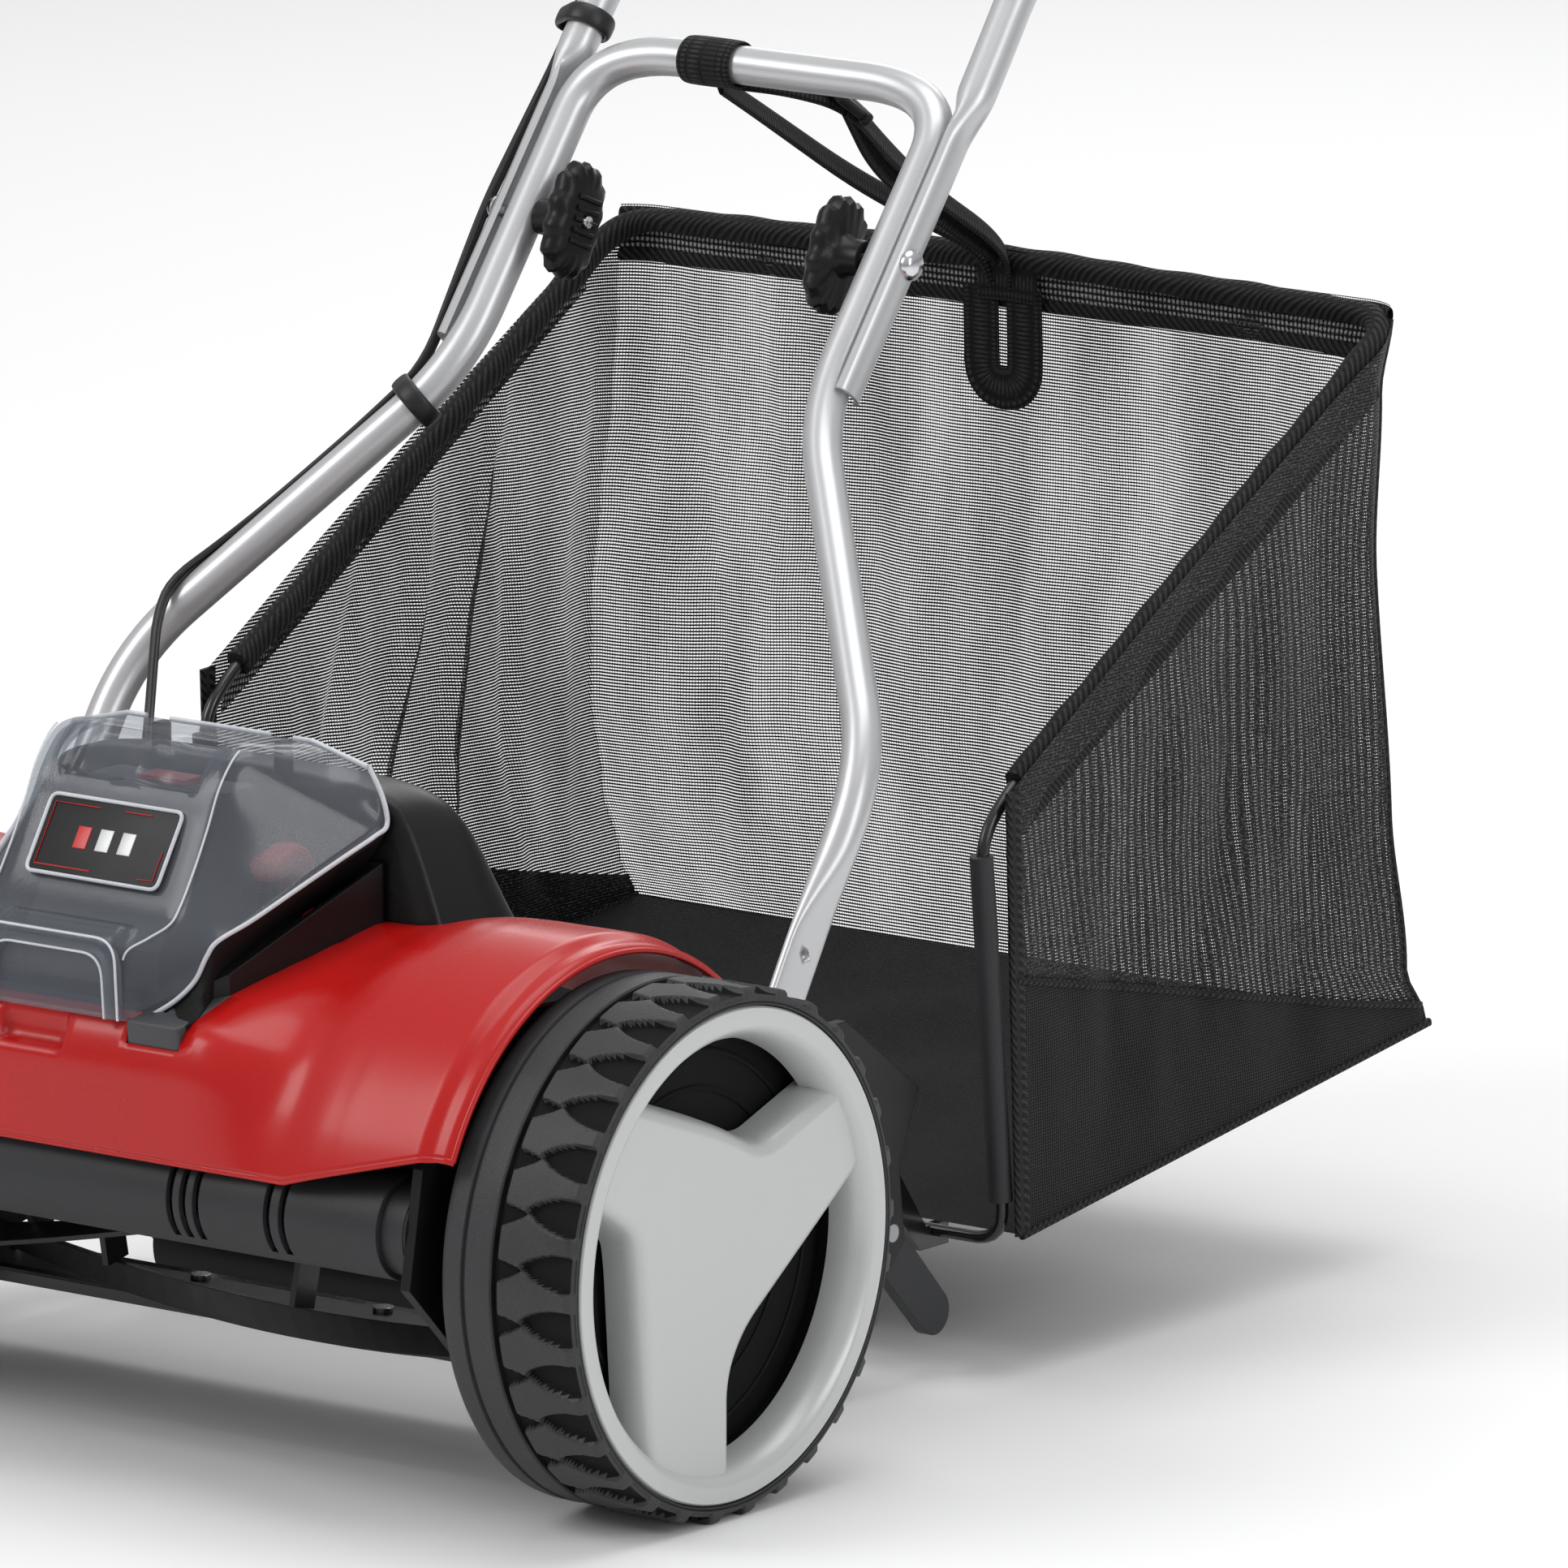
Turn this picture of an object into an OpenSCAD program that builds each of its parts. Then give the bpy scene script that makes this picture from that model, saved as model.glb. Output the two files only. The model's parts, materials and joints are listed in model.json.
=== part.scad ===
// Cordless reel mower with a wire-framed grass bag.
// The origin is on the ground, half way along and half way across the whole machine.
// The front of the mower faces -Y, the handle and the bag are at +Y, and X runs along the axle.

/* [Wheels] */
// Radius of the tyres over the tread
tyre_r = 113; // [109:0.5:116]
// Distance from the middle of the mower to the outer face of a wheel
wheel_face_x = 277; // [274:1:284]
// Width of each tyre
tyre_w = 65; // [60:1:65]

/* [Cutting reel] */
// Radius of the circle that the blades cut
reel_r = 66; // [60:0.5:66]
// Number of helical blades
blade_count = 5; // [4:1:7]
// Twist of each blade from end to end, in degrees
blade_twist = 75; // [40:1:100]

/* [Handle] */
// Outer diameter of the handle tubes
tube_d = 17.3; // [16:0.1:18]
// Slope of the upper handle above the ground, in degrees
handle_angle = 52; // [50:0.5:54]
// Length of the upper handle from the clamp bolts to the grip bar
handle_length = 700; // [600:5:760]
// Half the width of the grip bar, between tube centres
grip_half_w = 185; // [160:1:200]

/* [Grass bag] */
// Half the width of the bag
bag_half_w = 222; // [218:1:228]
// Height of the bag rim above the ground
bag_rim_z = 428; // [415:1:435]
// Thickness of the bag fabric and its hems
fabric_t = 3; // [2.5:0.1:4]

/* [Hidden] */
$fn = 48;

// How far the machine reaches ahead of the axle and behind it, which puts the origin half way
front_reach = 122;
box_back = 20;
box_low = -36;
back_reach = clamp_y_from_axle() + (handle_length + box_back) * cos(handle_angle)
  - box_low * sin(handle_angle);
axle_y = (front_reach - back_reach) / 2;
axle_z = tyre_r;

// Fits: a turning shaft in its hole, and the gap that parts keep as they pass
fit = 0.06;
gap = 0.4;
end_slack = 1;

// Wheels
tyre_in_x = wheel_face_x - tyre_w;
rim_r = 100;
wheel_axle_r = 8;
hub_r = 17;
ring_out_r = 105;
ring_in_r = 93;
core_x = 250;
clip_x = 262;

// Side plates and what they carry
plate_in_x = 191;
plate_t = 5;
plate_out_x = plate_in_x + plate_t;
pad_x = 200;
beam_y = -93;
beam_z = 129;
beam_r = 23;
beam_end_x = 178;
tie_y = 214;
tie_z = 108;
lever_y = 214;
lever_z = 72;
carrier_y = 146;
carrier_z = 70;
roller_y = 192;
roller_r = 22.5;
pin_r = 4;

// Reel
reel_left_x = -186;
reel_right_x = 176;
shaft_r = 7;
blade_depth = 13;
blade_t = 2.4;
reel_pulley_r = 30;
motor_pulley_r = 11;
belt_t = 2.2;
pulley_x = 180;
pulley_w = 8;

// Deck: radii about the axle line
hood_r = 118;
fender_r = 126;
arch_r = 122;
deck_t = 3;
deck_half_w = 206;

// Lid and bay
lid_hinge_y = 5;
lid_hinge_z = 299;
lid_t = 2.5;
face_top_y = -44;
face_top_z = 305;
face_low_y = -112;
face_low_z = 213;
face_tilt = 90 - atan2(face_top_y - face_low_y, face_top_z - face_low_z);
latch_y = -30;
hinge_pin_r = 1.5;
hinge_half_w = 30;

// Handle, in the upright plane of each leg
tube_r = tube_d / 2;
leg_x = 98;
foot_x = 202.5;
strap_t = 5;
clamp_y = clamp_y_from_axle();
clamp_z = 466;
bolt_r = 3;
lap_below = 58;
lap_above = 88;
lap_face_x = 113;
leg_bend = 19;
upper_x = leg_x + 12;
lap_flat_x = leg_x + tube_r + 0.3;
crossbar_l = 85;
grip_sleeve_r = 14;
bail_n = -28;
box_half_w = 55;

// Bag
hook_y = 273;
hook_z = 60;
wire_r = 2.8;
bag_wire_x = 214;
bag_back_y = 566;
bag_top_front_z = 262;

// A point on the slope of the upper handle: along it and square to it, from the clamp bolts
function clamp_y_from_axle() = 340;
function slope(x, along, up = 0) = [
  x,
  clamp_y + along * cos(handle_angle) - up * sin(handle_angle),
  clamp_z + along * sin(handle_angle) + up * cos(handle_angle)];

// Route of the left or right leg of the lower handle, from its flat foot to the crossbar
foot_bolt = [foot_x, 100, 134];
spare_hole = [foot_x, 143, 207];
low_bend = [foot_x, 191, 281];
top_bend = [leg_x, clamp_y - 48, clamp_z - 61];
function leg_route() = [
  [foot_x, 147, 214], low_bend, top_bend, slope(leg_x, crossbar_l - 6), slope(leg_x - 26, crossbar_l)];
function flip(points) = [for (i = [len(points) - 1:-1:0]) [-points[i][0], points[i][1], points[i][2]]];

// Route of one upper tube, from the top of its clamp lap to the grip bar
function upper_route() = [
  slope(upper_x, lap_above - 1), slope(upper_x - 3, 165), slope(grip_half_w, 420),
  slope(grip_half_w, handle_length), slope(grip_half_w - 60, handle_length)];

// Control cable: along the outside of the left upper tube, then the lower tube, into the housing
cable_r = 3;
leg_start = [-leg_x, top_bend[1], top_bend[2]];
leg_dir = [-0.545, -0.527, -0.647];
cable_off = [-10.3, 4.2, 5.2];
cable_upper_route = [
  slope(-30, handle_length - 27, 13), slope(-36, 640, 13), slope(-110, 590, 13), slope(-172, 540, 14),
  slope(-191, 505, 14), slope(-199, 460, 4), slope(-198, 415, 0), slope(-160, 290, 0),
  slope(-131, 198, 0), slope(-122.3, 137, 0), slope(-122.3, 82, 0), slope(-120, 62, 0),
  slope(-121, 36, 9),
  slope(-121, 10, 12)];
cable_lower_route = [
  slope(-121, 9, 12), slope(-121, -30, 8), slope(-121, -62, 4),
  leg_start + cable_off + 16 * leg_dir, leg_start + cable_off + 100 * leg_dir,
  [-178, 226, 330], [-191, 202, 312], [-178, 178, 298], [-146, 134, 272], [-112, 88, 255]];

// A corner turned into an arc-like curve of n steps that starts reach before it
function toward(a, b, reach) = a + (b - a) * min(reach / norm(b - a), 0.5);
function bend(a, b, c, reach, n) = [
  for (i = [0:n]) let (t = i / n, p = toward(b, a, reach), q = toward(b, c, reach))
    p * pow(1 - t, 2) + b * 2 * t * (1 - t) + q * pow(t, 2)];
function rounded(pts, reach, n = 6) = concat(
  [pts[0]],
  [for (i = [1:len(pts) - 2]) each bend(pts[i - 1], pts[i], pts[i + 1], reach, n)],
  [pts[len(pts) - 1]]);

// A round bar along a route, square to it at each point
function along(pts, i) =
  let (a = pts[max(i - 1, 0)], b = pts[min(i + 1, len(pts) - 1)]) (b - a) / norm(b - a);
function across(t, up) = let (s = cross(t, up)) s / norm(s);
module bar(pts, r, up = [0, -sin(56), cos(56)], sides = 12) {
  n = len(pts);
  rings = [for (i = [0:n - 1]) let (t = along(pts, i), s = across(t, up), u = cross(s, t))
    each [for (k = [0:sides - 1]) let (a = 360 * k / sides) pts[i] + r * (s * cos(a) + u * sin(a))]];
  skin = [for (i = [0:n - 2], k = [0:sides - 1]) let (j = (k + 1) % sides)
    [i * sides + k, i * sides + j, (i + 1) * sides + j, (i + 1) * sides + k]];
  first = [for (k = [sides - 1:-1:0]) k];
  last = [for (k = [0:sides - 1]) (n - 1) * sides + k];
  polyhedron(points = rings, faces = concat([first], skin, [last]), convexity = 6);
}

// Helpers that place things
module mower() translate([0, axle_y, 0]) children();
module rod(x0, x1, r, y, z) translate([x0, y, z]) rotate([0, 90, 0]) cylinder(h = x1 - x0, r = r);
module both() for (side = [0, 1]) mirror([side, 0, 0]) children();
module plate(x0, x1, outline) translate([x0, 0, 0]) rotate([90, 0, 90]) linear_extrude(x1 - x0)
  polygon(outline);
module tilted(l, n = 0, x = 0) translate(slope(x, l, n)) rotate([handle_angle, 0, 0]) children();

// ---------- Chassis ----------
nose_half_w = 128;
nose_outline = [
  [-118, 146], [-118, 186], [-112, 202], [-64, 214], [0, 231], [70, 212], [70, 100], [-60, 100]];
deck_keep = [[-140, 146], [-140, 260], [-40, 320], [120, 260], [106, 190], [60, 140], [0, 113], [-60, 146]];
module nose(inset) plate(inset - nose_half_w, nose_half_w - inset, nose_outline);
module deck_drum(r_cut) {
  steps = [[0, hood_r], [122, hood_r], [150, fender_r], [196, fender_r], [deck_half_w, arch_r]];
  profile = concat([for (s = steps) [s[1] - r_cut, s[0]]], [[0, deck_half_w], [0, 0]]);
  translate([0, 0, axle_z]) both() rotate([0, 90, 0]) rotate_extrude($fn = 96) polygon(profile);
}
module deck_shell() color([0.72, 0.13, 0.12]) mower() difference() {
  intersection() {
    union() {
      difference() {
        union() {
          deck_drum(0);
          nose(0);
        }
        deck_drum(deck_t);
        translate([0, deck_t, -deck_t]) nose(deck_t);
      }
      both() translate([deck_half_w - 6, 0, axle_z]) rotate([0, 90, 0]) difference() {
        cylinder(h = 14, r = arch_r + 1, $fn = 96);
        translate([0, 0, -1]) cylinder(h = 16, r = arch_r - 3, $fn = 96);
      }
    }
    plate(-240, 240, deck_keep);
  }
  translate([-100, -110, 200]) cube([200, 110, 100]);
  translate([-125, -8, 200]) cube([250, 92, 100]);
}

module front_beam() color([0.2, 0.2, 0.21]) mower() difference() {
  union() {
    rod(-plate_in_x, beam_end_x, beam_r, beam_y, beam_z);
    rod(beam_end_x - 1, plate_in_x, beam_r - 3, beam_y, beam_z);
  }
  rod(-plate_in_x - 1, beam_end_x - 3, beam_r - 2.5, beam_y, beam_z);
  rod(beam_end_x - 4, plate_in_x + 1, beam_r - 5.5, beam_y, beam_z);
  translate([pulley_x - 1.5, beam_y + 2, beam_z - 30]) cube([pulley_w + 3, 40, 60]);
  for (x = [66, 73, 80, 118, 126]) translate([x, beam_y - 30, beam_z - 16]) cube([3.5, 20, 34]);
}

plate_outline = [[-116, 108], [-104, 96], [-60, 52], [-20, 40], [60, 36], [150, 52], [212, 52],
  [226, 66], [222, 100], [236, 132], [184, 170], [113, 170], [98, 176], [70, 208], [-40, 214],
  [-88, 192], [-107, 158]];
module side_plate() difference() {
  union() {
    plate(plate_in_x, plate_out_x, plate_outline);
    rod(plate_in_x, pad_x, 26, 0, axle_z);
    plate(plate_out_x - 1, pad_x, [[84, 114], [112, 114], [146, 168], [116, 168], [84, 142]]);
  }
  rod(plate_in_x - 1, plate_in_x + 6, 11, 0, axle_z);
  rod(plate_in_x + 4, pad_x + 1, wheel_axle_r, 0, axle_z);
  rod(plate_in_x - 1, pad_x + 1, bolt_r, foot_bolt[1], foot_bolt[2]);
  rod(plate_in_x - 1, pad_x + 1, pin_r, carrier_y, carrier_z);
  rod(plate_in_x - 1, pad_x + 1, pin_r, lever_y, lever_z);
}
module side_plate_left() color([0.08, 0.08, 0.09]) mower() mirror([1, 0, 0]) side_plate();
module side_plate_right() color([0.08, 0.08, 0.09]) mower() side_plate();

module control_housing() color([0.09, 0.09, 0.1]) mower() {
  difference() {
    hull() {
      translate([-124, 3, 204]) cube([248, 84, 4]);
      translate([-98, 3, 262]) cube([196, 62, 2]);
      translate([-84, 3, 286]) cube([168, 40, 4]);
    }
    hull() {
      translate([-120, 7, 200]) cube([240, 76, 4]);
      translate([-94, 7, 259]) cube([188, 54, 2]);
      translate([-81, 7, 282]) cube([162, 33, 4]);
    }
  }
  both() translate([hinge_half_w + 0.6, lid_hinge_y - 1.5, 287]) cube([5, 6, lid_hinge_z - 285]);
  both() rod(hinge_half_w - 6, hinge_half_w + 3, hinge_pin_r - fit, lid_hinge_y, lid_hinge_z);
}

// The bay under the lid: a tapered tray whose rim follows the lid's lower edge
module bay_form(inset, low) hull() both() {
  translate([0, -104 + inset, low]) cube([43 - inset, 1, 204 - low]);
  translate([0, -80 + inset, low]) cube([72 - inset, 1, 220 - low]);
  translate([0, 0 - inset, low]) cube([90 - inset, 1, 256 - low]);
}
module battery_bay() color([0.1, 0.1, 0.11]) mower() difference() {
  bay_form(0, 194);
  bay_form(3, 199);
  hull() both() {
    translate([0, -100, 205]) cube([40, 1, 60]);
    translate([0, -3, 205]) cube([86, 1, 60]);
  }
}

module battery_socket() color([0.15, 0.15, 0.16]) mower()
  translate([-30, -14, 200]) cube([60, 10, 40]);

module control_board() color([0.1, 0.35, 0.2]) mower() translate([-60, 20, 214]) {
  cube([120, 50, 1.6]);
  for (x = [10, 34, 80]) translate([x, 10, 1.6]) cube([14, 24, 10]);
}

module knife_carrier() color([0.12, 0.12, 0.13]) mower()
  plate(-plate_in_x, plate_in_x, [[26, 38], [72, 38], [72, 44], [26, 44]]);
module bed_knife() color([0.7, 0.71, 0.73]) mower()
  plate(-188, 188, [[18.5, 46.6], [22, 44], [56, 44], [56, 47], [22, 47.4]]);

module rear_tie_bar() color([0.15, 0.15, 0.16]) mower() rod(-plate_in_x, plate_in_x, 6, tie_y, tie_z);

module motor_can() color([0.45, 0.46, 0.48]) mower() difference() {
  rod(50, 130, 19, beam_y, beam_z);
  rod(49, 131, 3 + fit, beam_y, beam_z);
}

// A flat belt around the two pulleys, as its outer loop less its inner loop
module belt_loop(grow) hull() {
  rod(pulley_x + 1.5, pulley_x + pulley_w - 1.5, reel_pulley_r + grow, 0, axle_z);
  rod(pulley_x + 1.5, pulley_x + pulley_w - 1.5, motor_pulley_r + grow, beam_y, beam_z);
}
module drive_belt() color([0.06, 0.06, 0.06]) mower() difference() {
  belt_loop(gap + belt_t);
  translate([-1, 0, 0]) belt_loop(gap);
  translate([1, 0, 0]) belt_loop(gap);
}

module wheel_axles() color([0.6, 0.61, 0.63]) mower() both() difference() {
  rod(plate_in_x + 6, clip_x + 6, wheel_axle_r, 0, axle_z);
  rod(clip_x + 1, clip_x + 7, 2.5, 0, axle_z);
}
module axle_clips() color([0.3, 0.3, 0.32]) mower() both() difference() {
  rod(clip_x + 1.5, clip_x + 3, 12, 0, axle_z);
  rod(clip_x, clip_x + 5, wheel_axle_r, 0, axle_z);
}
module reel_bearings() color([0.55, 0.56, 0.58]) mower() both() difference() {
  rod(plate_in_x, plate_in_x + 5, 11, 0, axle_z);
  rod(plate_in_x - 1, plate_in_x + 6, shaft_r + fit, 0, axle_z);
}

module lower_handle() color([0.78, 0.79, 0.8]) mower() difference() {
  union() {
    bar(concat(rounded(leg_route(), leg_bend), flip(rounded(leg_route(), leg_bend))), tube_r);
    both() hull() {
      rod(foot_x - strap_t / 2, foot_x + strap_t / 2, 13, spare_hole[1], spare_hole[2]);
      rod(foot_x - strap_t / 2, foot_x + strap_t / 2, 12, foot_bolt[1], foot_bolt[2]);
    }
  }
  both() rod(foot_x - 20, foot_x + 20, bolt_r, spare_hole[1], spare_hole[2]);
  both() rod(foot_x - 20, foot_x + 20, bolt_r, foot_bolt[1], foot_bolt[2]);
  both() rod(leg_x - 20, leg_x + 20, bolt_r + fit, clamp_y, clamp_z);
}
module handle_bolts() color([0.7, 0.71, 0.73]) mower() both() {
  rod(plate_in_x - 4, foot_x + strap_t / 2 + 1, bolt_r, foot_bolt[1], foot_bolt[2]);
  rod(foot_x + strap_t / 2, foot_x + strap_t / 2 + 3.5, 6, foot_bolt[1], foot_bolt[2]);
  rod(plate_in_x - 5, plate_in_x, 6, foot_bolt[1], foot_bolt[2]);
}

// A hook plate that leaves the tie bar and cups the bag wire from below
hook_x = 172;
module bag_hooks() color([0.1, 0.1, 0.11]) mower() both() difference() {
  plate(hook_x, hook_x + 5, [[204, 116], [206, 98], [222, 98], [hook_y - 10, 52], [hook_y + 10, 52],
    [hook_y + 10, 62], [hook_y - 6, 62], [228, 116]]);
  rod(hook_x - 1, hook_x + 6, 6, tie_y, tie_z);
  rod(hook_x - 1, hook_x + 6, wire_r + gap, hook_y, hook_z);
  translate([hook_x - 1, hook_y - wire_r - gap, hook_z]) cube([7, 2 * (wire_r + gap), 20]);
}

module clip_ring(mid, dir, shift) difference() {
  union() {
    bar([mid - 4.5 * dir, mid + 4.5 * dir], tube_r + 3.3, sides = 24);
    bar([mid + shift - 4.5 * dir, mid + shift + 4.5 * dir], cable_r + 3, sides = 24);
  }
  bar([mid - 6 * dir, mid + 6 * dir], tube_r + gap, sides = 24);
  bar([mid + shift - 6 * dir, mid + shift + 6 * dir], cable_r + gap, sides = 24);
}
module clip_lower() color([0.07, 0.07, 0.07]) mower()
  clip_ring(leg_start + 35 * leg_dir, leg_dir, cable_off);
module clip_upper() color([0.07, 0.07, 0.07]) mower()
  clip_ring(slope(-108.5, 120), slope(0, 1) - slope(0, 0), [-13.8, 0, 0]);
module cable_lower() color([0.05, 0.05, 0.05]) mower()
  bar(rounded(cable_lower_route, 14, 4), cable_r, up = [0.2, -0.8, 0.5], sides = 8);
module cable_upper() color([0.05, 0.05, 0.05]) mower()
  bar(rounded(cable_upper_route, 20, 4), cable_r, sides = 8);

module body_screws() color([0.6, 0.6, 0.62]) mower() both() {
  for (x = [50, 150]) translate([x, 50, 47.1]) cylinder(h = 2.5, r = 4.5);
  for (z = [120, 152]) rod(plate_out_x, plate_out_x + 3, 5, -70, z);
}

module roller_pivot_pins() color([0.6, 0.61, 0.63]) mower() both() {
  rod(174, pad_x - 1, pin_r, carrier_y, carrier_z);
  rod(183, pad_x - 1, pin_r, lever_y, lever_z);
}

// ---------- Motor and reel ----------
module motor_shaft() color([0.65, 0.66, 0.68]) mower() rod(46, pulley_x + pulley_w, 3, beam_y, beam_z);
module pulley(r, bore, y) difference() {
  union() {
    rod(pulley_x + 1, pulley_x + pulley_w - 1, r, y, y == 0 ? axle_z : beam_z);
    rod(pulley_x, pulley_x + 1, r + 1.6, y, y == 0 ? axle_z : beam_z);
    rod(pulley_x + pulley_w - 1, pulley_x + pulley_w, r + 1.6, y, y == 0 ? axle_z : beam_z);
  }
  rod(pulley_x - 1, pulley_x + pulley_w + 1, bore, y, y == 0 ? axle_z : beam_z);
}
module motor_pulley() color([0.5, 0.5, 0.52]) mower() pulley(motor_pulley_r, 3, beam_y);
module reel_pulley() color([0.5, 0.5, 0.52]) mower() pulley(reel_pulley_r, shaft_r, 0);
module reel_shaft() color([0.6, 0.61, 0.63]) mower()
  rod(-plate_in_x - 5, plate_in_x + 5, shaft_r, 0, axle_z);
module reel_spiders() color([0.16, 0.16, 0.17]) mower()
  for (x = [reel_left_x, -66, 54, reel_right_x - 3]) translate([x, 0, axle_z]) rotate([90, 0, 90])
    linear_extrude(3) difference() {
      union() {
        circle(r = 22);
        for (k = [0:blade_count - 1])
          rotate(360 * k / blade_count - blade_twist * (x - reel_left_x) / (reel_right_x - reel_left_x))
            translate([-7, 15]) square([14, reel_r - blade_depth - 15.02]);
      }
      circle(r = shaft_r);
    }
// One blade: a flat strip whose four corners turn about the reel's axis along its length
module blade(start) {
  rings = 28;
  corners = [[reel_r - blade_depth, -blade_t / 2], [reel_r - 0.1, -blade_t / 2],
    [reel_r - 0.1, blade_t / 2], [reel_r - blade_depth, blade_t / 2]];
  points = [for (i = [0:rings]) let (f = i / rings, a = start - blade_twist * f)
    each [for (c = corners) [
      reel_left_x + f * (reel_right_x - reel_left_x),
      c[0] * -sin(a) + c[1] * cos(a),
      c[0] * cos(a) + c[1] * sin(a)]]];
  sides = [for (i = [0:rings - 1], k = [0:3]) let (j = (k + 1) % 4)
    [i * 4 + j, i * 4 + k, (i + 1) * 4 + k, (i + 1) * 4 + j]];
  last = rings * 4;
  polyhedron(points, concat([[0, 1, 2, 3]], sides, [[last + 3, last + 2, last + 1, last]]), convexity = 4);
}
module reel_blades() color([0.55, 0.56, 0.58]) mower()
  translate([0, 0, axle_z]) for (k = [0:blade_count - 1]) blade(360 * k / blade_count);

// ---------- Wheels ----------
module turned(outline) translate([0, 0, axle_z]) rotate([0, 90, 0]) rotate_extrude($fn = 96)
  polygon(outline);
module tyre() turned([
  [rim_r, tyre_in_x], [tyre_r - 2, tyre_in_x + 1], [tyre_r - 1, tyre_in_x + 9], [tyre_r - 3, tyre_in_x + 10],
  [tyre_r, tyre_in_x + 12], [tyre_r, tyre_in_x + 24], [tyre_r - 3, tyre_in_x + 25], [tyre_r, tyre_in_x + 27],
  [tyre_r, wheel_face_x - 8], [tyre_r - 3, wheel_face_x - 3], [ring_out_r + 0.5, wheel_face_x - 1],
  [ring_out_r, wheel_face_x - 12], [rim_r, wheel_face_x - 12]]);
module wheel_core() difference() {
  turned([
    [wheel_axle_r + fit, pad_x + end_slack], [hub_r, pad_x + end_slack], [hub_r, core_x - 4],
    [rim_r - 5, core_x - 4], [rim_r - 5, tyre_in_x + 2], [rim_r, tyre_in_x + 2], [rim_r, core_x + 6],
    [rim_r - 5, core_x + 6], [rim_r - 5, core_x], [hub_r, core_x], [hub_r, clip_x + 0.5],
    [wheel_axle_r + fit, clip_x + 0.5]]);
}
// Silver cover: a dished ring, and a flat three-armed plate across it
function arm_point(r, a) = [r * cos(a), r * sin(a)];
module hub_arms() {
  intersection() {
    circle(r = ring_in_r + 3, $fn = 96);
    union() {
      polygon([arm_point(97, 16), arm_point(97, 34), arm_point(48, 55), arm_point(52, 90),
        arm_point(98, 133), arm_point(98, 155), arm_point(62, 161), arm_point(56, 173),
        arm_point(97, 242.9), arm_point(97, 270.6), arm_point(53, 272), arm_point(37, 291)]);
      circle(r = 27);
    }
  }
}
module hub_cover() difference() {
  union() {
    turned([[ring_in_r, wheel_face_x - 14], [ring_out_r - 0.4, wheel_face_x - 8],
      [ring_out_r - 0.4, wheel_face_x - 1.5], [ring_out_r - 2, wheel_face_x],
      [ring_out_r - 5, wheel_face_x], [ring_in_r, wheel_face_x - 4]]);
    translate([wheel_face_x - 11, 0, axle_z]) rotate([90, 0, 90]) linear_extrude(6) hub_arms();
  }
  rod(wheel_face_x - 12, wheel_face_x - 8, wheel_axle_r + 6, 0, axle_z);
}
module tyre_left() color([0.13, 0.13, 0.14]) mower() mirror([1, 0, 0]) tyre();
module tyre_right() color([0.13, 0.13, 0.14]) mower() tyre();
module wheel_core_left() color([0.07, 0.07, 0.08]) mower() mirror([1, 0, 0]) wheel_core();
module wheel_core_right() color([0.07, 0.07, 0.08]) mower() wheel_core();
module hub_cover_left() color([0.78, 0.79, 0.79]) mower() mirror([1, 0, 0]) hub_cover();
module hub_cover_right() color([0.78, 0.79, 0.79]) mower() hub_cover();

// ---------- Rear roller and height setting ----------
module roller_arms() color([0.12, 0.12, 0.13]) mower() union() {
  both() difference() {
    hull() {
      rod(176, 181, 10, carrier_y, carrier_z);
      rod(176, 181, 10, roller_y, roller_r);
    }
    rod(175, 182, pin_r + fit, carrier_y, carrier_z);
  }
  rod(-180, 180, 5, roller_y, roller_r);
}
module rear_roller() color([0.1, 0.1, 0.11]) mower() difference() {
  rod(-174, 174, roller_r, roller_y, roller_r);
  rod(-175, 175, 5 + fit, roller_y, roller_r);
}
module height_lever() color([0.16, 0.16, 0.17]) mower() difference() {
  hull() {
    rod(184, 190, 11, lever_y, lever_z);
    rod(184, 190, 10, 256, 28);
  }
  rod(183, 191, pin_r + fit, lever_y, lever_z);
}

// ---------- Upper handle ----------
module upper_lap() difference() {
  tilted(0, 0, upper_x) rotate([-90, 0, 0]) translate([0, 0, -lap_below])
    cylinder(h = lap_below + lap_above, r = tube_r + 0.2);
  translate([lap_flat_x - 20, clamp_y - 100, clamp_z - 100]) cube([20, 200, 200]);
  translate([lap_face_x, clamp_y - 100, clamp_z - 100]) cube([20, 200, 200]);
  rod(upper_x - 20, upper_x + 20, bolt_r, clamp_y, clamp_z);
}
module upper_handle() color([0.78, 0.79, 0.8]) mower() union() {
  bar(concat(rounded(upper_route(), 40), flip(rounded(upper_route(), 40))), tube_r);
  both() upper_lap();
}
module clamp_bolts() color([0.85, 0.86, 0.88]) mower() both() {
  rod(66, lap_face_x, bolt_r, clamp_y, clamp_z);
  translate([lap_face_x, clamp_y, clamp_z]) rotate([0, 90, 0]) difference() {
    scale([1, 1, 0.6]) sphere(r = 7);
    translate([0, 0, -10]) cylinder(h = 10, r = 10);
  }
}
module knob() difference() {
  union() {
    rod(72, leg_x - tube_r - gap, 12, clamp_y, clamp_z);
    translate([0, clamp_y, clamp_z]) rotate([25, 0, 0]) for (s = [-1, 1]) hull() {
      rod(64, 76, 9, 0, 0);
      rod(64, 76, 8, 0, s * 17);
    }
  }
  rod(65.9, 100, bolt_r + fit, clamp_y, clamp_z);
}
module clamp_knob_left() color([0.05, 0.05, 0.05]) mower() mirror([1, 0, 0]) knob();
module clamp_knob_right() color([0.05, 0.05, 0.05]) mower() knob();

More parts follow.
